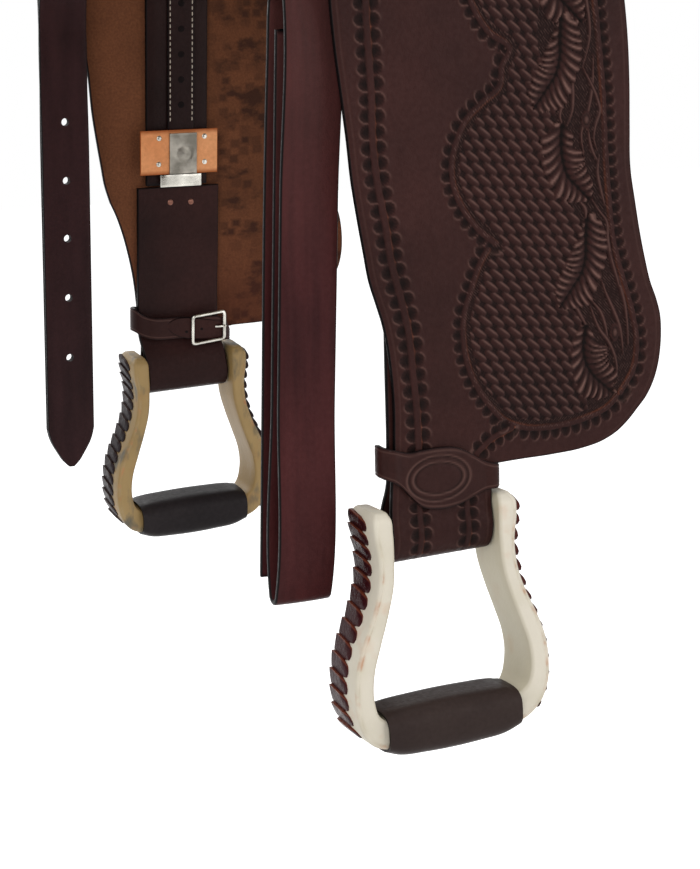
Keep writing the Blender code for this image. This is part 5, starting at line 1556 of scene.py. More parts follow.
def leather_buckle(side_name, side):
    """Wide and narrow straps, the plate, the sliding sleeve with its dimple and the riveted keeper."""
    x = HANG_X[side_name]
    top = -0.1310
    sleeve_top = -0.4255
    sleeve_low = -0.4655
    face = -0.0026
    outward = (0.0, -side, 0.0)
    body = "fender_" + side_name
    slide = "buckle_slide_" + side_name
    # Both straps take the darker strap leather; on the off side its extra darkness is painted shade.
    plate("stirrup_strap_" + side_name, side, x + 0.0361, x - 0.0224, top, INNER_TOP + 0.0020, 0.0026,
          LEATHER, "narrow", body, "brown_leather", ["stirrup_leather_" + side_name])
    plate("lift_strap_" + side_name, side, x + 0.0165, x - 0.0085, top - 0.030, INNER_TOP + 0.0022, -0.0014,
          0.0024, "narrow", body, "brown_leather", ["buckle_strap_" + side_name])

    def spot(a, z, off):
        return (x + a, side * (hang_y(z) + off), z)

    pitch = 0.0052
    start = top - 0.034
    levels = [start - i * pitch for i in range(int((start + 0.4240) / pitch))]
    runs = [(spot(a, z, face), spot(a, z - pitch * 0.66, face), outward) for a in (0.0145, -0.0065)
            for z in levels]
    stitches("lift_strap_%s_stitches" % side_name, runs, 0.0005, "white_thread", body, "brown_leather")
    # The strap's holes are flat dark discs: painted shade, not cut through.
    holes = [spot(0.0040, -0.4030 + 0.0225 * number, face) for number in range(8)]
    studs("strap_hole_shades_" + side_name, ["strap_hole_%s_%d" % (side_name, i) for i in range(8)], holes,
          outward, 0.0032, 0.0003, "dark", body, "brown_leather")
    plate("buckle_bar_" + side_name, side, x + 0.0248, x - 0.0150, -0.4662, -0.4770, -0.0048, 0.0020,
          "bright", body, "steel", ["buckle_plate_" + side_name], soft=0.45, step=0.0012)
    plate("keeper_" + side_name, side, x + 0.0440, x - 0.0305, sleeve_top, sleeve_low, -0.0047, 0.0020,
          "tan", slide, "tan_leather", ["buckle_keeper_" + side_name], columns=16, soft=0.40)
    buckle_sleeve(side_name, side, x, sleeve_top - 0.0030, sleeve_low + 0.0003, slide)
    tipped = (0.0, -side, 0.05)
    places = ((0.0262, -0.4325), (0.0266, -0.4560), (-0.0175, -0.4322), (-0.0177, -0.4555))
    studs("keeper_rivets_" + side_name, ["keeper_rivet"] * 4, [spot(a, z, -0.0057) for a, z in places],
          tipped, 0.0025, 0.0009, "bright", slide, "steel")
    places = ((0.0132, -0.4920), (-0.0068, -0.4925))
    studs("strap_rivets_" + side_name, ["strap_rivet"] * 2, [spot(a, z, 0.0003) for a, z in places], tipped,
          0.0028, 0.0009, "copper", body, "brown_leather", ridge=0.5)


def buckle_sleeve(side_name, side, x, top, low, body):
    """The metal sleeve: a plate with turned edges and a pressed point in its middle."""
    rows = 39
    columns = 27
    half = 0.00075
    face = -0.0069
    z = np.linspace(low, top, rows)[:, None]
    a = x + 0.0166 - 0.0260 * np.arange(columns) / (columns - 1)
    reach = np.hypot(a - x - 0.0030, z - (top + low) / 2.0)
    rise = 0.0011 * np.maximum(0.0, 1.0 - reach / 0.0065) ** 1.6
    rise = rise - 0.0004 * np.exp(-((reach - 0.0068) / 0.0016) ** 2)
    rim = 0.0004 * (np.exp(-((z - low) / 0.0010) ** 2) + np.exp(-((top - z) / 0.0010) ** 2))
    layers = []
    for off in (face - half - rise - rim, np.full(reach.shape, face + half)):
        layers.append(np.stack(np.broadcast_arrays(a, side * (hang_y(z) + off), z), axis=2).reshape(-1, 3))
    piece("sleeve_plate_" + side_name, np.vstack(layers), sheet_faces(rows, columns), "dull", body, "steel",
          ["buckle_sleeve_" + side_name])


# Skirts, jockeys and wool over the horse's back

ARC_REACH = BACK_RADIUS + 0.020


def lift(x):
    return ROCKER * (x - TREE_MIDDLE_X) ** 2


def on_back(x, slope, height):
    """Near-side points over the horse's back; x, slope in degrees and height may be arrays."""
    start = math.radians(BACK_START)
    centre_y = CHANNEL_HALF - BACK_RADIUS * math.sin(start)
    centre_z = -BACK_RADIUS * math.cos(start)
    angle = np.radians(slope)
    reach = BACK_RADIUS + height
    y = centre_y + reach * np.sin(angle)
    z = centre_z + reach * np.cos(angle) + lift(x)
    x, y, z = np.broadcast_arrays(x, y, z)
    return np.stack([x, y, z], axis=-1)


def eased(rows, times):
    """Eases the corners of a run of rows, with its ends held."""
    for _ in range(times):
        rows[1:-1] = 0.25 * rows[:-2] + 0.5 * rows[1:-1] + 0.25 * rows[2:]
    return rows


def dense(rows, step, soften):
    """Short steps along straight runs between rows of numbers, with the corners eased."""
    rows = np.asarray(rows, float)
    out = []
    for before, after in zip(rows[:-1], rows[1:]):
        steps = max(int(np.linalg.norm((after - before)[:3]) / step), 1)
        out.append(before + (after - before) * (np.arange(steps) / steps)[:, None])
    out.append(rows[-1:])
    return eased(np.vstack(out), soften)


def inset(rows, gap):
    """A line that keeps a gap from a panel's front, lower and rear edges, in millimetres."""
    bottom = np.linspace(rows[-1, 1], rows[-1, 2], 60)[1:-1]
    low_edge = np.stack([bottom, np.full(len(bottom), rows[-1, 0])], axis=1)
    outline = np.vstack([rows[:, [1, 0]], low_edge, rows[::-1][:, [2, 0]]]) / MM
    length = lengths(outline)
    even = np.arange(0.0, length[-1], 2.0)
    curve = np.stack([np.interp(even, length, outline[:, 0]), np.interp(even, length, outline[:, 1])],
                     axis=1)
    curve = eased(curve, 60)
    run = unit(np.gradient(curve, axis=0))
    return curve + np.stack([run[:, 1], -run[:, 0]], axis=1) * gap


def tooled(rows, gap, fields, splits=()):
    """Draws a border inside a panel's edge, cross borders, and basket stamps in the fields between."""
    def draw(tool):
        line = inset(rows, gap)
        inside = tool.inside(line)
        for test in fields:
            tool.weave(inside & test(tool.a, tool.z), *FIELD_STAMP)
        for cross in splits:
            tool.border(splined(cross, 3.0), 4.5, 6.0, 8.6, (1.0, -1.0))
        tool.border(line, 5.0, 6.2, 8.8, (-1.0,))
        crease(tool, 4.0)
    return draw


def down_back(slope):
    """Level on a panel's own drawing for a slope in degrees down the horse's side."""
    return -math.radians(slope) * ARC_REACH


def skirt(side_name, side):
    """The square skirt with tooled corners, and the woolly lining under it."""
    outline = [
        (34.2, 0.120, -0.502), (37.0, 0.160, -0.505), (44.0, 0.186, -0.508), (52.0, 0.198, -0.508),
        (60.0, 0.200, -0.506), (66.0, 0.196, -0.498), (70.0, 0.184, -0.482), (72.5, 0.166, -0.462),
        (74.2, 0.140, -0.436), (75.0, 0.110, -0.400),
    ]
    rows = dense([(down_back(s), f, r) for s, f, r in outline], 0.0018, 24)
    middle = (SKIRT_LOW + SKIRT_TOP) / 2.0

    def to_space(a, v, h):
        points = on_back(a, np.degrees(-v / ARC_REACH), middle + h)
        points[..., 1] *= side
        return points

    rear_split = [(-352.0, -250.0), (-372.0, -400.0), (-352.0, -500.0), (-320.0, -640.0)]
    front_split = [(82.0, -250.0), (96.0, -400.0), (80.0, -500.0), (60.0, -640.0)]
    rear_a = splined(rear_split, 3.0)
    front_a = splined(front_split, 3.0)
    fields = (lambda a, z: a < np.interp(-z, -rear_a[:, 1], rear_a[:, 0]),
              lambda a, z: a > np.interp(-z, -front_a[:, 1], front_a[:, 0]))
    carved_panel("skirt_leather_" + side_name, rows, to_space, SKIRT_TOP - SKIRT_LOW,
                 tooled(rows, 15.0, fields, (rear_split, front_split)), 0.0019, "flesh", "saddle",
                 ["skirt_" + side_name])
    wool_lining(side_name, side, outline)


def lumps(a, b, seed, scale):
    """Soft rolling noise without any picture: sines of random direction and phase."""
    rng = np.random.default_rng(seed)
    total = np.zeros(np.broadcast(a, b).shape)
    for _ in range(26):
        angle = rng.random() * 2.0 * math.pi
        size = scale * (0.6 + 0.9 * rng.random())
        phase = rng.random() * 2.0 * math.pi
        total += np.sin((a * math.cos(angle) + b * math.sin(angle)) / size * 2.0 * math.pi + phase)
    return total / 7.0


def wool_lining(side_name, side, outline):
    """Sheepskin: curled locks underneath and a fringe that shows round the skirt."""
    fringe = 0.0042
    rim_level = 0.0062
    rows = [(down_back(s), f + fringe, r - fringe) for s, f, r in outline]
    rows.append((down_back(outline[-1][0] + 0.5), outline[-1][1], outline[-1][2]))
    rows = dense(rows, 0.0032, 12)
    columns = 230
    share = np.arange(columns + 1) / columns
    fronts = rows[:, 1:2]
    rears = rows[:, 2:]
    a = fronts * (1.0 - share) + rears * share
    v = np.repeat(rows[:, :1], columns + 1, axis=1)
    curls = lumps(a, v, 11, 0.012) + 0.8 * lumps(a, v, 12, 0.006)
    rim = np.min([fronts - a, a - rears, v - rows[-1, 0], rows[0, 0] - v], axis=0)
    ease = np.clip(rim / 0.006, 0.0, 1.0)
    ease = np.sqrt(1.0 - (1.0 - ease) ** 2)
    low = 0.0056 - ease * (0.0050 + 0.0012 * curls)
    top = rim_level + ease * (FLEECE_TOP - rim_level - 0.0002)
    grow = (1.0 - ease) * 0.0016 * curls
    points = []
    for heights in (top, low):
        sheet = on_back(a + grow * np.sign(a + 0.15), np.degrees(-(v - grow) / ARC_REACH), heights)
        sheet[..., 1] *= side
        points.append(sheet.reshape(-1, 3))
    made = piece("wool_lining_" + side_name, np.vstack(points), sheet_faces(len(rows), columns + 1), "wool",
                 "saddle", "sheepskin", ["fleece_" + side_name])


SEAT_ROWS = [
    # centre (x, z), edge (x, y, z)
    (0.0210, 0.086, 0.0210, 0.102, 0.039), (0.000, 0.076, 0.000, 0.113, 0.029),
    (-0.040, 0.067, -0.040, 0.121, 0.023), (-0.052, 0.066, -0.052, 0.1225, 0.0225),
    (-0.100, 0.063, -0.100, 0.1255, 0.022), (-0.160, 0.065, -0.150, 0.133, 0.024),
    (-0.220, 0.070, -0.200, 0.142, 0.028), (-0.280, 0.084, -0.245, 0.151, 0.034),
    (-0.320, 0.107, -0.280, 0.157, 0.044), (-0.345, 0.137, -0.300, 0.160, 0.054),
    (-0.366, 0.166, -0.312, 0.157, 0.066), (-0.374, 0.177, -0.318, 0.154, 0.073),
]
SEAT_PAD = 0.016


def two_faced(name, outer, inner, look, slot, nodes, marks, edge=None):
    """A piece from an outer and an inner sheet of points; marks lie on the outer one."""
    blank = np.zeros(outer.shape[:2])
    marks = {key: np.concatenate([grid, blank], axis=1) for key, grid in marks.items()}
    if edge is not None:
        marks["edge"] = edge
    rings = np.concatenate([outer, inner[:, ::-1]], axis=1).reshape(-1, 3)
    return piece(name, rings, ring_faces(len(outer), 2 * outer.shape[1]), look, "saddle", slot, nodes, marks)


def seat():
    """The padded suede seat: a crowned pad with sewn channels and rounded edges."""
    rows = splined(SEAT_ROWS, 0.0036)
    count = len(rows)
    columns = 110
    seam_at = 0.84
    u = np.linspace(-1.0, 1.0, columns + 1)
    v = np.sign(u) * (1.0 - (1.0 - np.abs(u)) ** 1.35)
    ends = np.linspace(-1.0, 1.0, count)[:, None]
    x = rows[:, 0:1] + (rows[:, 2:3] - rows[:, 0:1]) * v**2
    z = rows[:, 1:2] + (rows[:, 4:5] - rows[:, 1:2]) * np.abs(v) ** 2.2
    surface = np.stack([x, rows[:, 3:4] * v, z], axis=2)
    normal = unit(np.cross(np.gradient(surface, axis=1), np.gradient(surface, axis=0)))
    normal *= np.sign(normal[:, :, 2:3] + 1e-9)
    side_round = 1.0 - np.sqrt(np.clip(1.0 - np.abs(v) ** 22, 0.0, 1.0))
    end_round = 1.0 - np.sqrt(np.clip(1.0 - np.abs(ends) ** 60, 0.0, 1.0))
    fall = np.clip(side_round + end_round, 0.0, 1.0) * SEAT_PAD / 2.0
    rim_gap = (np.abs(v) - seam_at) * rows[:, 3:4]
    groove = np.exp(-(rim_gap / 0.0022) ** 2) * (np.abs(ends) < 0.94)
    inner = np.clip((seam_at - np.abs(v)) / 0.04, 0.0, 1.0)
    for place in (-0.62, -0.40, -0.18, 0.04, 0.26, 0.48):
        bow = ends - place - 0.05 * v**2
        groove = np.maximum(groove, np.exp(-(bow * 0.21 / 0.0024) ** 2) * inner)
    crown = 0.0012 * np.sin(np.clip(1.0 - np.abs(v), 0.0, 1.0) * math.pi)
    top = surface + normal * (crown - fall - 0.0024 * groove)[:, :, None]
    low = surface - normal * (SEAT_PAD - fall)[:, :, None]
    # The channels and the seam groove are darkened: painted shade.
    made = two_faced("seat_pad", top, low, "suede", "suede", ["seat"], {"stamp": groove * 0.8})
    runs = []
    for sign in (-1.0, 1.0):
        column = int(np.argmin(np.abs(v - sign * seam_at)))
        line = top[:, column] + normal[:, column] * 0.0006
        for start, end in stitch_ends(line[int(count * 0.04):int(count * 0.96)], 0.0062):
            runs.append((start, end, normal[count // 2, column]))
    stitches("seat_stitches", runs, 0.0006, "brown_thread", "saddle", "suede")


def stitches(name, runs, radius, look, body, slot):
    """Short threads that rise from the leather and go back into it; runs give start, end and normal."""
    points = []
    faces = []
    for run in runs:
        start, end, normal = [np.asarray(part, float) for part in run]
        across = unit(np.cross(end - start, normal))
        faces += ring_faces(5, 6, base=len(points))
        for share, size, rise in ((0.0, 0.45, -0.3), (0.2, 1.0, 0.45), (0.5, 1.0, 0.6), (0.8, 1.0, 0.45),
                                  (1.0, 0.45, -0.3)):
            centre = start + (end - start) * share + normal * (radius * rise)
            for turn in np.radians(np.arange(0.0, 360.0, 60.0)):
                points.append(centre + (across * math.cos(turn) + normal * math.sin(turn)) * (radius * size))
    piece(name, points, faces, look, body, slot)


def stitch_ends(line, pitch):
    """Start and end of each stitch along a line of points."""
    length = lengths(line)
    ends = []
    for i in range(int(length[-1] / pitch)):
        ends.append([np.array([np.interp(s, length, line[:, k]) for k in range(3)])
                     for s in (i * pitch, (i + STITCH_SHARE) * pitch)])
    return ends


def seat_jockey(side_name, side):
    """The tooled leather that comes out from under the seat over the fender's top."""
    given = [
        (0.1285, 0.0100, 0.0190, -0.226, 1.0), (0.150, -0.0130, 0.0200, -0.232, 0.55),
        (0.182, -0.0480, 0.050, -0.234, 0.15), (0.214, -0.0790, 0.092, -0.226, 0.0),
        (0.2450, -0.0980, 0.112, -0.212, 0.0), (0.2648, -0.1140, 0.120, -0.196, 0.0),
        (0.2692, -0.1330, 0.121, -0.182, 0.0), (0.2700, -0.1600, 0.112, -0.164, 0.0),
        (0.2708, -0.1780, 0.094, -0.146, 0.0), (0.2714, -0.1900, 0.068, -0.118, 0.0),
    ]
    run = dense(given, 0.0016, 6)
    length = lengths(run[:, :2])
    rows = np.stack([-length, run[:, 2], run[:, 3]], axis=1)
    direction = unit(eased(np.gradient(run[:, :2], axis=0), 12))
    seat_edges = np.array(SEAT_ROWS)[::-1]

    def to_space(a, v, h):
        s = -v
        past = np.clip(s - length[-1], 0.0, None) + np.clip(s, None, 0.0)
        dy, dz = [np.interp(s, length, direction[:, k]) for k in (0, 1)]
        y, z, follow = [np.interp(s, length, run[:, k]) for k in (0, 1, 4)]
        # The top follows the seat's own edge.
        edge_y, edge_z = [np.interp(a, seat_edges[:, 2], seat_edges[:, k]) for k in (3, 4)]
        y = y - dz * h + dy * past + (edge_y + 0.0055 - given[0][0]) * follow
        z = z + dy * h + dz * past + (edge_z - 0.0120 - given[0][1]) * follow
        return np.stack([a, side * y, z], axis=-1)

    draw = tooled(rows, 13.0, (lambda a, z: z < -34.0,))
    carved_panel("seat_jockey_leather_" + side_name, rows, to_space, 0.0044, draw, 0.0016, "flesh", "saddle",
                 ["seat_jockey_" + side_name])
    concho("seat_concho_" + side_name, to_space, 0.052, -0.118)


def concho(name, to_space, a, v):
    """A leather rosette with a domed, fluted metal button on top."""
    def at(a_here, v_here, h):
        return to_space(np.float64(a_here), np.float64(v_here), np.float64(h))

    spot = at(a, v, 0.0022)
    first = unit(at(a + 0.004, v, 0.0022) - spot)
    up = unit(np.cross(first, at(a, v - 0.004, 0.0022) - spot))
    if np.dot(up, at(a, v, 0.0042) - spot) < 0.0:
        up = -up
    axes = (first, np.cross(up, first), up)
    sides = 108
    rosette = [(0.0165, -0.0006), (0.0176, 0.0002), (0.0176, 0.0018), (0.0165, 0.0026), (0.002, 0.0027)]
    button = [(0.0118, 0.0024), (0.0121, 0.0032), (0.0112, 0.0040), (0.0098, 0.0037), (0.0088, 0.0042),
              (0.0060, 0.0058), (0.0030, 0.0064), (0.0010, 0.0065)]
    for tag, profile, flute, look, slot in (("_rosette", rosette, 0.035, "tan", "tan_leather"),
                                            ("_button", button, 0.012, "steel", "steel")):
        piece(name + tag, rings_round(spot, axes, profile, sides, flute), ring_faces(len(profile), sides),
              look, "saddle", slot)


def rear_jockey(side_name, side):
    """The tooled leather behind and beside the cantle."""
    half = 0.0020
    on_bar = COVER_LOW + 0.0003 + half
    given = [
        (33.2, -0.362, -0.462, on_bar), (34.6, -0.362, -0.475, on_bar), (40.0, -0.357, -0.484, on_bar),
        (46.0, -0.347, -0.489, on_bar), (49.6, -0.345, -0.491, on_bar), (50.6, -0.244, -0.492, on_bar),
        (53.2, -0.240, -0.491, on_bar - 0.0010), (55.6, -0.240, -0.489, 0.0300),
        (58.0, -0.242, -0.486, 0.0215), (61.0, -0.248, -0.478, 0.0203), (64.0, -0.262, -0.462, 0.0203),
        (66.0, -0.286, -0.438, 0.0203),
    ]
    run = dense([(down_back(s), f, r, h) for s, f, r, h in given], 0.0016, 5)

    def to_space(a, v, h):
        middle = np.interp(-v, -run[:, 0], run[:, 3])
        points = on_back(a, np.degrees(-v / ARC_REACH), middle + h)
        points[..., 1] *= side
        return points

    draw = tooled(run[:, :3], 12.0, (lambda a, z: z < -290.0,))
    carved_panel("rear_jockey_leather_" + side_name, run[:, :3], to_space, 2.0 * half, draw, 0.0017,
                 "flesh", "saddle", ["rear_jockey_" + side_name])
    for number, (a, slope) in enumerate(((-0.385, 43.0), (-0.305, 60.0), (-0.430, 60.0))):
        concho("rear_concho_%s_%d" % (side_name, number), to_space, a, down_back(slope))


# Fork, horn and cantle

FORK_PAIRS = [
    # inner (y, z) and outer (y, z) of the arch over the gullet
    (0.080, 0.0302, 0.150, -0.0353), (0.078, 0.045, 0.165, 0.008), (0.069, 0.068, 0.168, 0.052),
    (0.052, 0.087, 0.156, 0.092), (0.028, 0.097, 0.112, 0.120), (0.018, 0.0985, 0.070, 0.1262),
    (0.009, 0.0996, 0.034, 0.1312), (0.000, 0.100, 0.000, 0.1345),
]
FORK_REAR = 0.0345
FORK_FRONT = 0.1150


def swell_cover():
    """The leather over the swells, with basket stamps on both faces and sewn arrises."""
    near = splined(FORK_PAIRS, 0.0020)
    far = near[-2::-1] * np.array([-1.0, 1.0, -1.0, 1.0])
    pairs = np.vstack([near, far])
    trim = max(int(len(near) * 0.028), 1)
    pairs = pairs[trim:-trim]
    low = np.insert(pairs[:, 0:2], 0, 0.0, axis=1)
    high = np.insert(pairs[:, 2:4], 0, 0.0, axis=1)
    outward = high - low
    width = np.linalg.norm(outward, axis=1)
    outward /= width[:, None]
    skin = 0.0033
    cover = 0.0008 + skin
    reach = 0.010 + cover
    start = 0.005
    front = FORK_FRONT + cover
    rear = FORK_REAR - cover
    bends = [math.radians(90.0 * i / 8) for i in range(9)]
    rows = []
    for size in width:
        top = size + cover
        flat = max(top - reach - start, 0.002)
        path = [(start + flat * i / 50, front, 0.0) for i in range(50)]
        path += [(top - reach + reach * math.sin(t), front - reach + reach * math.cos(t), 1.0)
                 for t in bends]
        path += [(top, front - reach - (front - rear - 2.0 * reach) * i / 24, 1.0) for i in range(1, 24)]
        path += [(top - reach + reach * math.cos(t), rear + reach - reach * math.sin(t), 1.0) for t in bends]
        path += [(top - reach - flat * i / 25, rear, 2.0) for i in range(1, 26)]
        rows.append(path)
    rows = np.array(rows)
    count, size = rows.shape[:2]
    along = lengths(high)
    along -= along[-1] / 2.0
    a = -np.tile(along, (size, 1)) / MM
    deep = (rows[:, :, 0].T - start) / MM
    tool = Tooling(a, -deep)
    face = rows[:, :, 2].T != 1.0
    rim = np.min([deep - 9.0, width / MM - 18.0 - deep, np.abs(a) - 46.0, 158.0 - np.abs(a)], axis=0)
    tool.field(rim, face)
    # A pale line just outside the field's pressed line: painted highlight.
    tool.deepen("pale", 0.35 * np.exp(-((rim + 3.4) / 0.6) ** 2) * face)
    run = unit(np.gradient(rows[:, :, :2], axis=1))
    out = np.stack([-run[:, :, 1], run[:, :, 0]], axis=2)
    sheets = []
    for height in (tool.height.T * MM, np.full((count, size), -skin)):
        spot = rows[:, :, :2] + out * height[:, :, None]
        sheet = low[:, None, :] + outward[:, None, :] * spot[:, :, :1]
        sheet[:, :, 0] = spot[:, :, 1]
        sheets.append(sheet)
    outer, inner = sheets
    edge = np.zeros((count, 2 * size))
    edge[:, [0, size - 1, size, -1]] = 1.0
    marks = {key: grid.T for key, grid in tool.marks.items()}
    two_faced("swell_leather", outer, inner, "brown", "brown_leather", ["swell_cover"], marks, edge)
    pitch = 0.0060
    runs = []
    for column in (54, 86):
        ways = unit((outer - inner)[4:-4, column])
        for number, (first, last) in enumerate(stitch_ends(outer[4:-4, column], pitch)):
            runs.append((first, last, ways[min(int(number * pitch / 0.0021), len(ways) - 1)]))
    stitches("swell_stitches", runs, 0.0006, "brown_thread", "saddle", "brown_leather")


def horn():
    """The rubber-wrapped neck and the leather cap with its stitched rim."""
    lean = math.radians(12.0)
    base = np.array([0.075, 0.0, 0.1398])
    axes = axes_round((math.sin(lean), 0.0, math.cos(lean)))
    first, second, up = axes
    sides = 64
    low = 0.0125
    high = 0.0750
    turns = 5
    rows = 120
    share = np.arange(rows + 1)[:, None] / rows
    phase = (share * turns + np.arange(sides) / sides) % 1.0
    lap = 0.0016 * (1.0 - phase) ** 0.7
    ends = np.minimum(np.minimum(share, 1.0 - share) / 0.03, 1.0)
    radius = 0.0246 + lap + 0.0012 * np.sin(math.pi * np.minimum(phase * 1.2, 1.0))
    radius = radius - 0.0040 * (1.0 - np.sqrt(1.0 - (1.0 - ends) ** 2))
    line = base + up * (low + (high - low) * share)
    rings = tube(line, np.tile(first, (rows + 1, 1)), np.tile(second, (rows + 1, 1)), radius)
    piece("horn_rubber", rings, ring_faces(rows + 1, sides), "rubber", "saddle", "rubber", ["horn_wrap"])
    cap_low = 0.0763
    seam = 0.0316
    profile = [(0.0100, 0.0), (0.0210, 0.0), (0.0290, 0.0009), (0.0345, 0.0024), (0.0374, 0.0048),
               (0.0386, 0.0076), (0.0390, 0.0100), (0.0389, 0.0122), (0.0381, 0.0146), (0.0366, 0.0162),
               (0.0340, 0.0173), (0.0322, 0.0176), (seam, 0.0172), (0.0310, 0.0176), (0.0250, 0.0181),
               (0.0160, 0.0183), (0.0080, 0.0182), (0.0020, 0.0181)]
    profile = [(size, cap_low + rise) for size, rise in profile]
    sides = 96
    # The seam ring is darkened: painted shade in its groove.
    stamp = np.repeat([0.7 if size == seam else 0.0 for size, _ in profile], sides)
    piece("horn_cap_leather", rings_round(base, axes, profile, sides), ring_faces(len(profile), sides),
          "brown", "saddle", "brown_leather", ["horn_cap"], {"stamp": stamp})
    count = 44
    runs = []
    for i in range(count):
        turn = [2.0 * math.pi * (i + part) / count for part in (0.0, 0.66)]
        pair = [base + up * (cap_low + 0.0176) + (first * math.cos(t) + second * math.sin(t)) * 0.0328
                for t in turn]
        runs.append((*pair, up))
    stitches("horn_cap_stitches", runs, 0.0005, "brown_thread", "saddle", "brown_leather")


def cantle():
    """The leather on the cantle's back, tooled, and the sewn roll along its rim."""
    profile = splined([
        (-0.4045, 0.1690, -0.3460, 0.0620), (-0.400, 0.155, -0.3455, 0.052), (-0.384, 0.125, -0.343, 0.030),
        (-0.368, 0.097, -0.338, 0.006), (-0.352, 0.058, -0.330, -0.034),
    ], 0.0018)
    half = 0.158
    v = np.linspace(-1.0, 1.0, 191)
    x = profile[:, 0:1] + (profile[:, 2:3] - profile[:, 0:1]) * v**2
    z = profile[:, 1:2] + (profile[:, 3:4] - profile[:, 1:2]) * np.abs(v) ** 2.2
    y = np.tile(half * v, (len(profile), 1))
    tool = Tooling(-y / MM, z / MM)
    down = np.linspace(0.0, 1.0, len(profile))[:, None]
    tool.field(np.minimum(np.minimum(down - 0.14, 0.86 - down) * 105.0, (0.90 - np.abs(v)) * half / MM))
    outer = np.stack([x - 0.0045 - tool.height * MM, y, z], axis=2)
    inner = np.stack([x - 0.0012, y, z], axis=2)
    edge = np.zeros((len(profile), 2 * len(v)))
    edge[[0, -1]] = 1.0
    two_faced("cantle_leather", outer, inner, "brown", "brown_leather", ["cantle_back"], tool.marks, edge)
    cantle_roll(half)


# Rigging

REAR_DEE_X = -0.300
DEE_WIRE = 0.0040


def cantle_roll(half):
    """The padded roll along the cantle's rim, with two sewn lines."""
    steps = 150
    share = np.linspace(-1.0, 1.0, steps + 1)
    centre_x = -0.3985
    centre_z = 0.1710
    drop = 0.0645 - centre_z
    slope = 2.2 * np.abs(share) ** 1.2 * np.copysign(drop, share) / half
    outs = unit(np.stack([0.0 * share, slope, np.ones(steps + 1)], axis=1))
    line = np.stack([centre_x + (-0.3390 - centre_x) * share**2, half * share,
                     centre_z + drop * np.abs(share) ** 2.2], axis=1) + outs * 0.0135
    run = unit(np.gradient(line, axis=0))
    first = unit(np.cross(run, np.array([1.0, 0.0, 0.0])))
    second = np.cross(run, first)
    sides = 36
    angle = 2.0 * math.pi * np.arange(sides) / sides
    place = np.arange(steps + 1)
    ends = np.clip(np.minimum(place, steps - place) / 5.0, 0.0, 1.0)
    girth = 0.0115 * np.sqrt(np.clip(1.0 - (1.0 - ends) ** 2, 0.04, 1.0))
    seams = [spot * 2.0 * math.pi for spot in (0.62, 0.88)]
    off = [np.angle(np.exp(1j * (angle - seam))) for seam in seams]
    groove = np.exp(-(np.array(off) / 0.10) ** 2).max(axis=0)
    rings = tube(line, first, second, girth[:, None] - 0.0009 * groove)
    # The sewn grooves are darkened: painted shade.
    piece("cantle_roll_leather", rings, ring_faces(steps + 1, sides), "brown", "saddle", "brown_leather",
          ["cantle_roll"], {"stamp": np.tile(groove * 0.6, steps + 1)})
    pitch = 0.0062
    runs = []
    for seam in seams:
        normal = math.cos(seam) * first + math.sin(seam) * second
        thread_line = (line + normal * (girth - 0.0008)[:, None])[6:-6]
        for number, (start, end) in enumerate(stitch_ends(thread_line, pitch)):
            runs.append((start, end, normal[min(6 + int(number * pitch / 0.0024), steps)]))
    stitches("cantle_stitches", runs, 0.0006, "brown_thread", "saddle", "brown_leather")


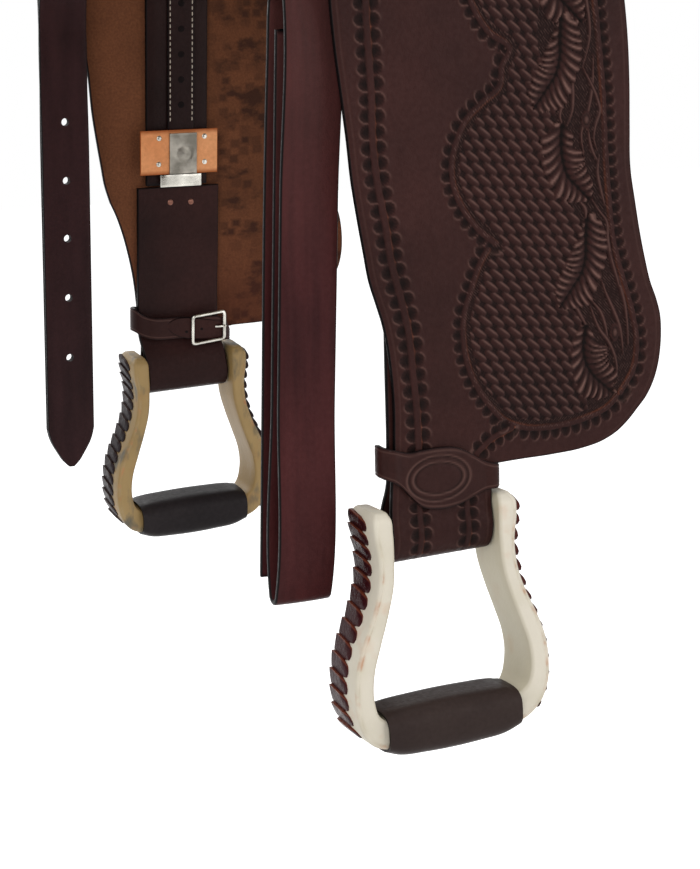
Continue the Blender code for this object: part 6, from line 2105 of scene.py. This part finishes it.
def rigging(side_name, side):
    """Front and rear rigging leathers and the dees in their folds."""
    corner = [(0.0335, 0.014), (0.0290, 0.026), (0.0200, 0.0325)]
    shape = [(-a, b) for a, b in corner] + corner[::-1] + arc(0.0, 0.0, DEE_ARC,
                                                              [-22.5 * i for i in range(9)])
    shape = splined(shape, 0.0022, closed=True)
    bar_z = DEE_Z + 0.0325
    turn = 0.0070
    fold = [(DEE_Y - turn, bar_z + 0.010), *arc(DEE_Y, bar_z, turn, (180.0, 225.0, 270.0, 315.0, 360.0)),
            (DEE_Y + turn, bar_z + 0.018)]
    # For each place: where it hangs, the slopes it lies on, its lower end and its half widths.
    places = (
        ("front", DEE_X, 53.8, 65.0, [(0.2490, -0.178), (0.240, -0.152), (0.228, -0.128)],
         [0.050, 0.048, 0.042, 0.032] + [0.0195] * 7 + [0.024, 0.032, 0.038]),
        ("rear", REAR_DEE_X, 67.6, 70.0, [(0.2500, -0.180), (0.2460, -0.168)],
         [0.034, 0.032, 0.028, 0.022] + [0.0195] * 7 + [0.022, 0.022]),
    )
    for place, x, start, last, tail, wide in places:
        ring = [(x + a, side * DEE_Y, DEE_Z + b) for a, b in shape]
        wire("rigging_ring_%s_%s" % (place, side_name), ring, DEE_WIRE, "steel", "saddle",
             ["%s_dee_%s" % (place, side_name)], sides=16)
        lying = [on_back(x, start + (last - start) * i / 3, 0.0210)[1:] for i in range(4)]
        rows = [(*spot, 1.0) for spot in lying] + [(*spot, 0.0) for spot in fold + tail]
        run = splined([(*row, half) for row, half in zip(rows, wide)], 0.0030)
        weight = np.clip(run[:, 2], 0.0, 1.0)

        def placed(points, middle=x, weights=weight):
            points[:, :, 2] += weights[:, None] * (lift(points[:, :, 0]) - lift(middle))
            return points

        strap("rigging_leather_%s_%s" % (place, side_name), run[:, :2], x + run[:, 3], x - run[:, 3],
              0.0040, "brown", "saddle", "brown_leather", side=side, columns=12,
              nodes=["%s_rigging_%s" % (place, side_name)], place=placed, soft=0.32)


def finish_frame():
    """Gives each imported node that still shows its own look."""
    looks = {
        "fine": ("tree_bar_near", "tree_bar_off", "fork", "cantle", "horn_core", "ground_seat",
                 "stirrup_loop_near", "stirrup_loop_off"),
        "steel": ("breast_dee_near", "breast_dee_off", "stirrup_bolt_near", "stirrup_bolt_off"),
    }
    for look, names in looks.items():
        for name in names:
            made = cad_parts[name]
            made.data.materials.clear()
            made.data.materials.append(LOOKS[look])


camera()
stage()
finish_frame()
seat()
swell_cover()
horn()
cantle()
latigo()
billet("off_billet", -1.0, DEE_X, 0.004, -0.7215, 0.012, "billet", "latigo_leather",
       (-0.412, -0.463, -0.514, -0.567, -0.621))
for side_name, side in SIDES.items():
    fender(side_name, side)
    leather_buckle(side_name, side)
    hobble(side_name, side)
    stirrup(side_name, side)
    skirt(side_name, side)
    seat_jockey(side_name, side)
    rear_jockey(side_name, side)
    rigging(side_name, side)
    billet("flank_billet_" + side_name, side, -0.300, 0.0, -0.600, 0.0, "fine", "brown_leather",
           (-0.400, -0.440, -0.480, -0.520, -0.560))
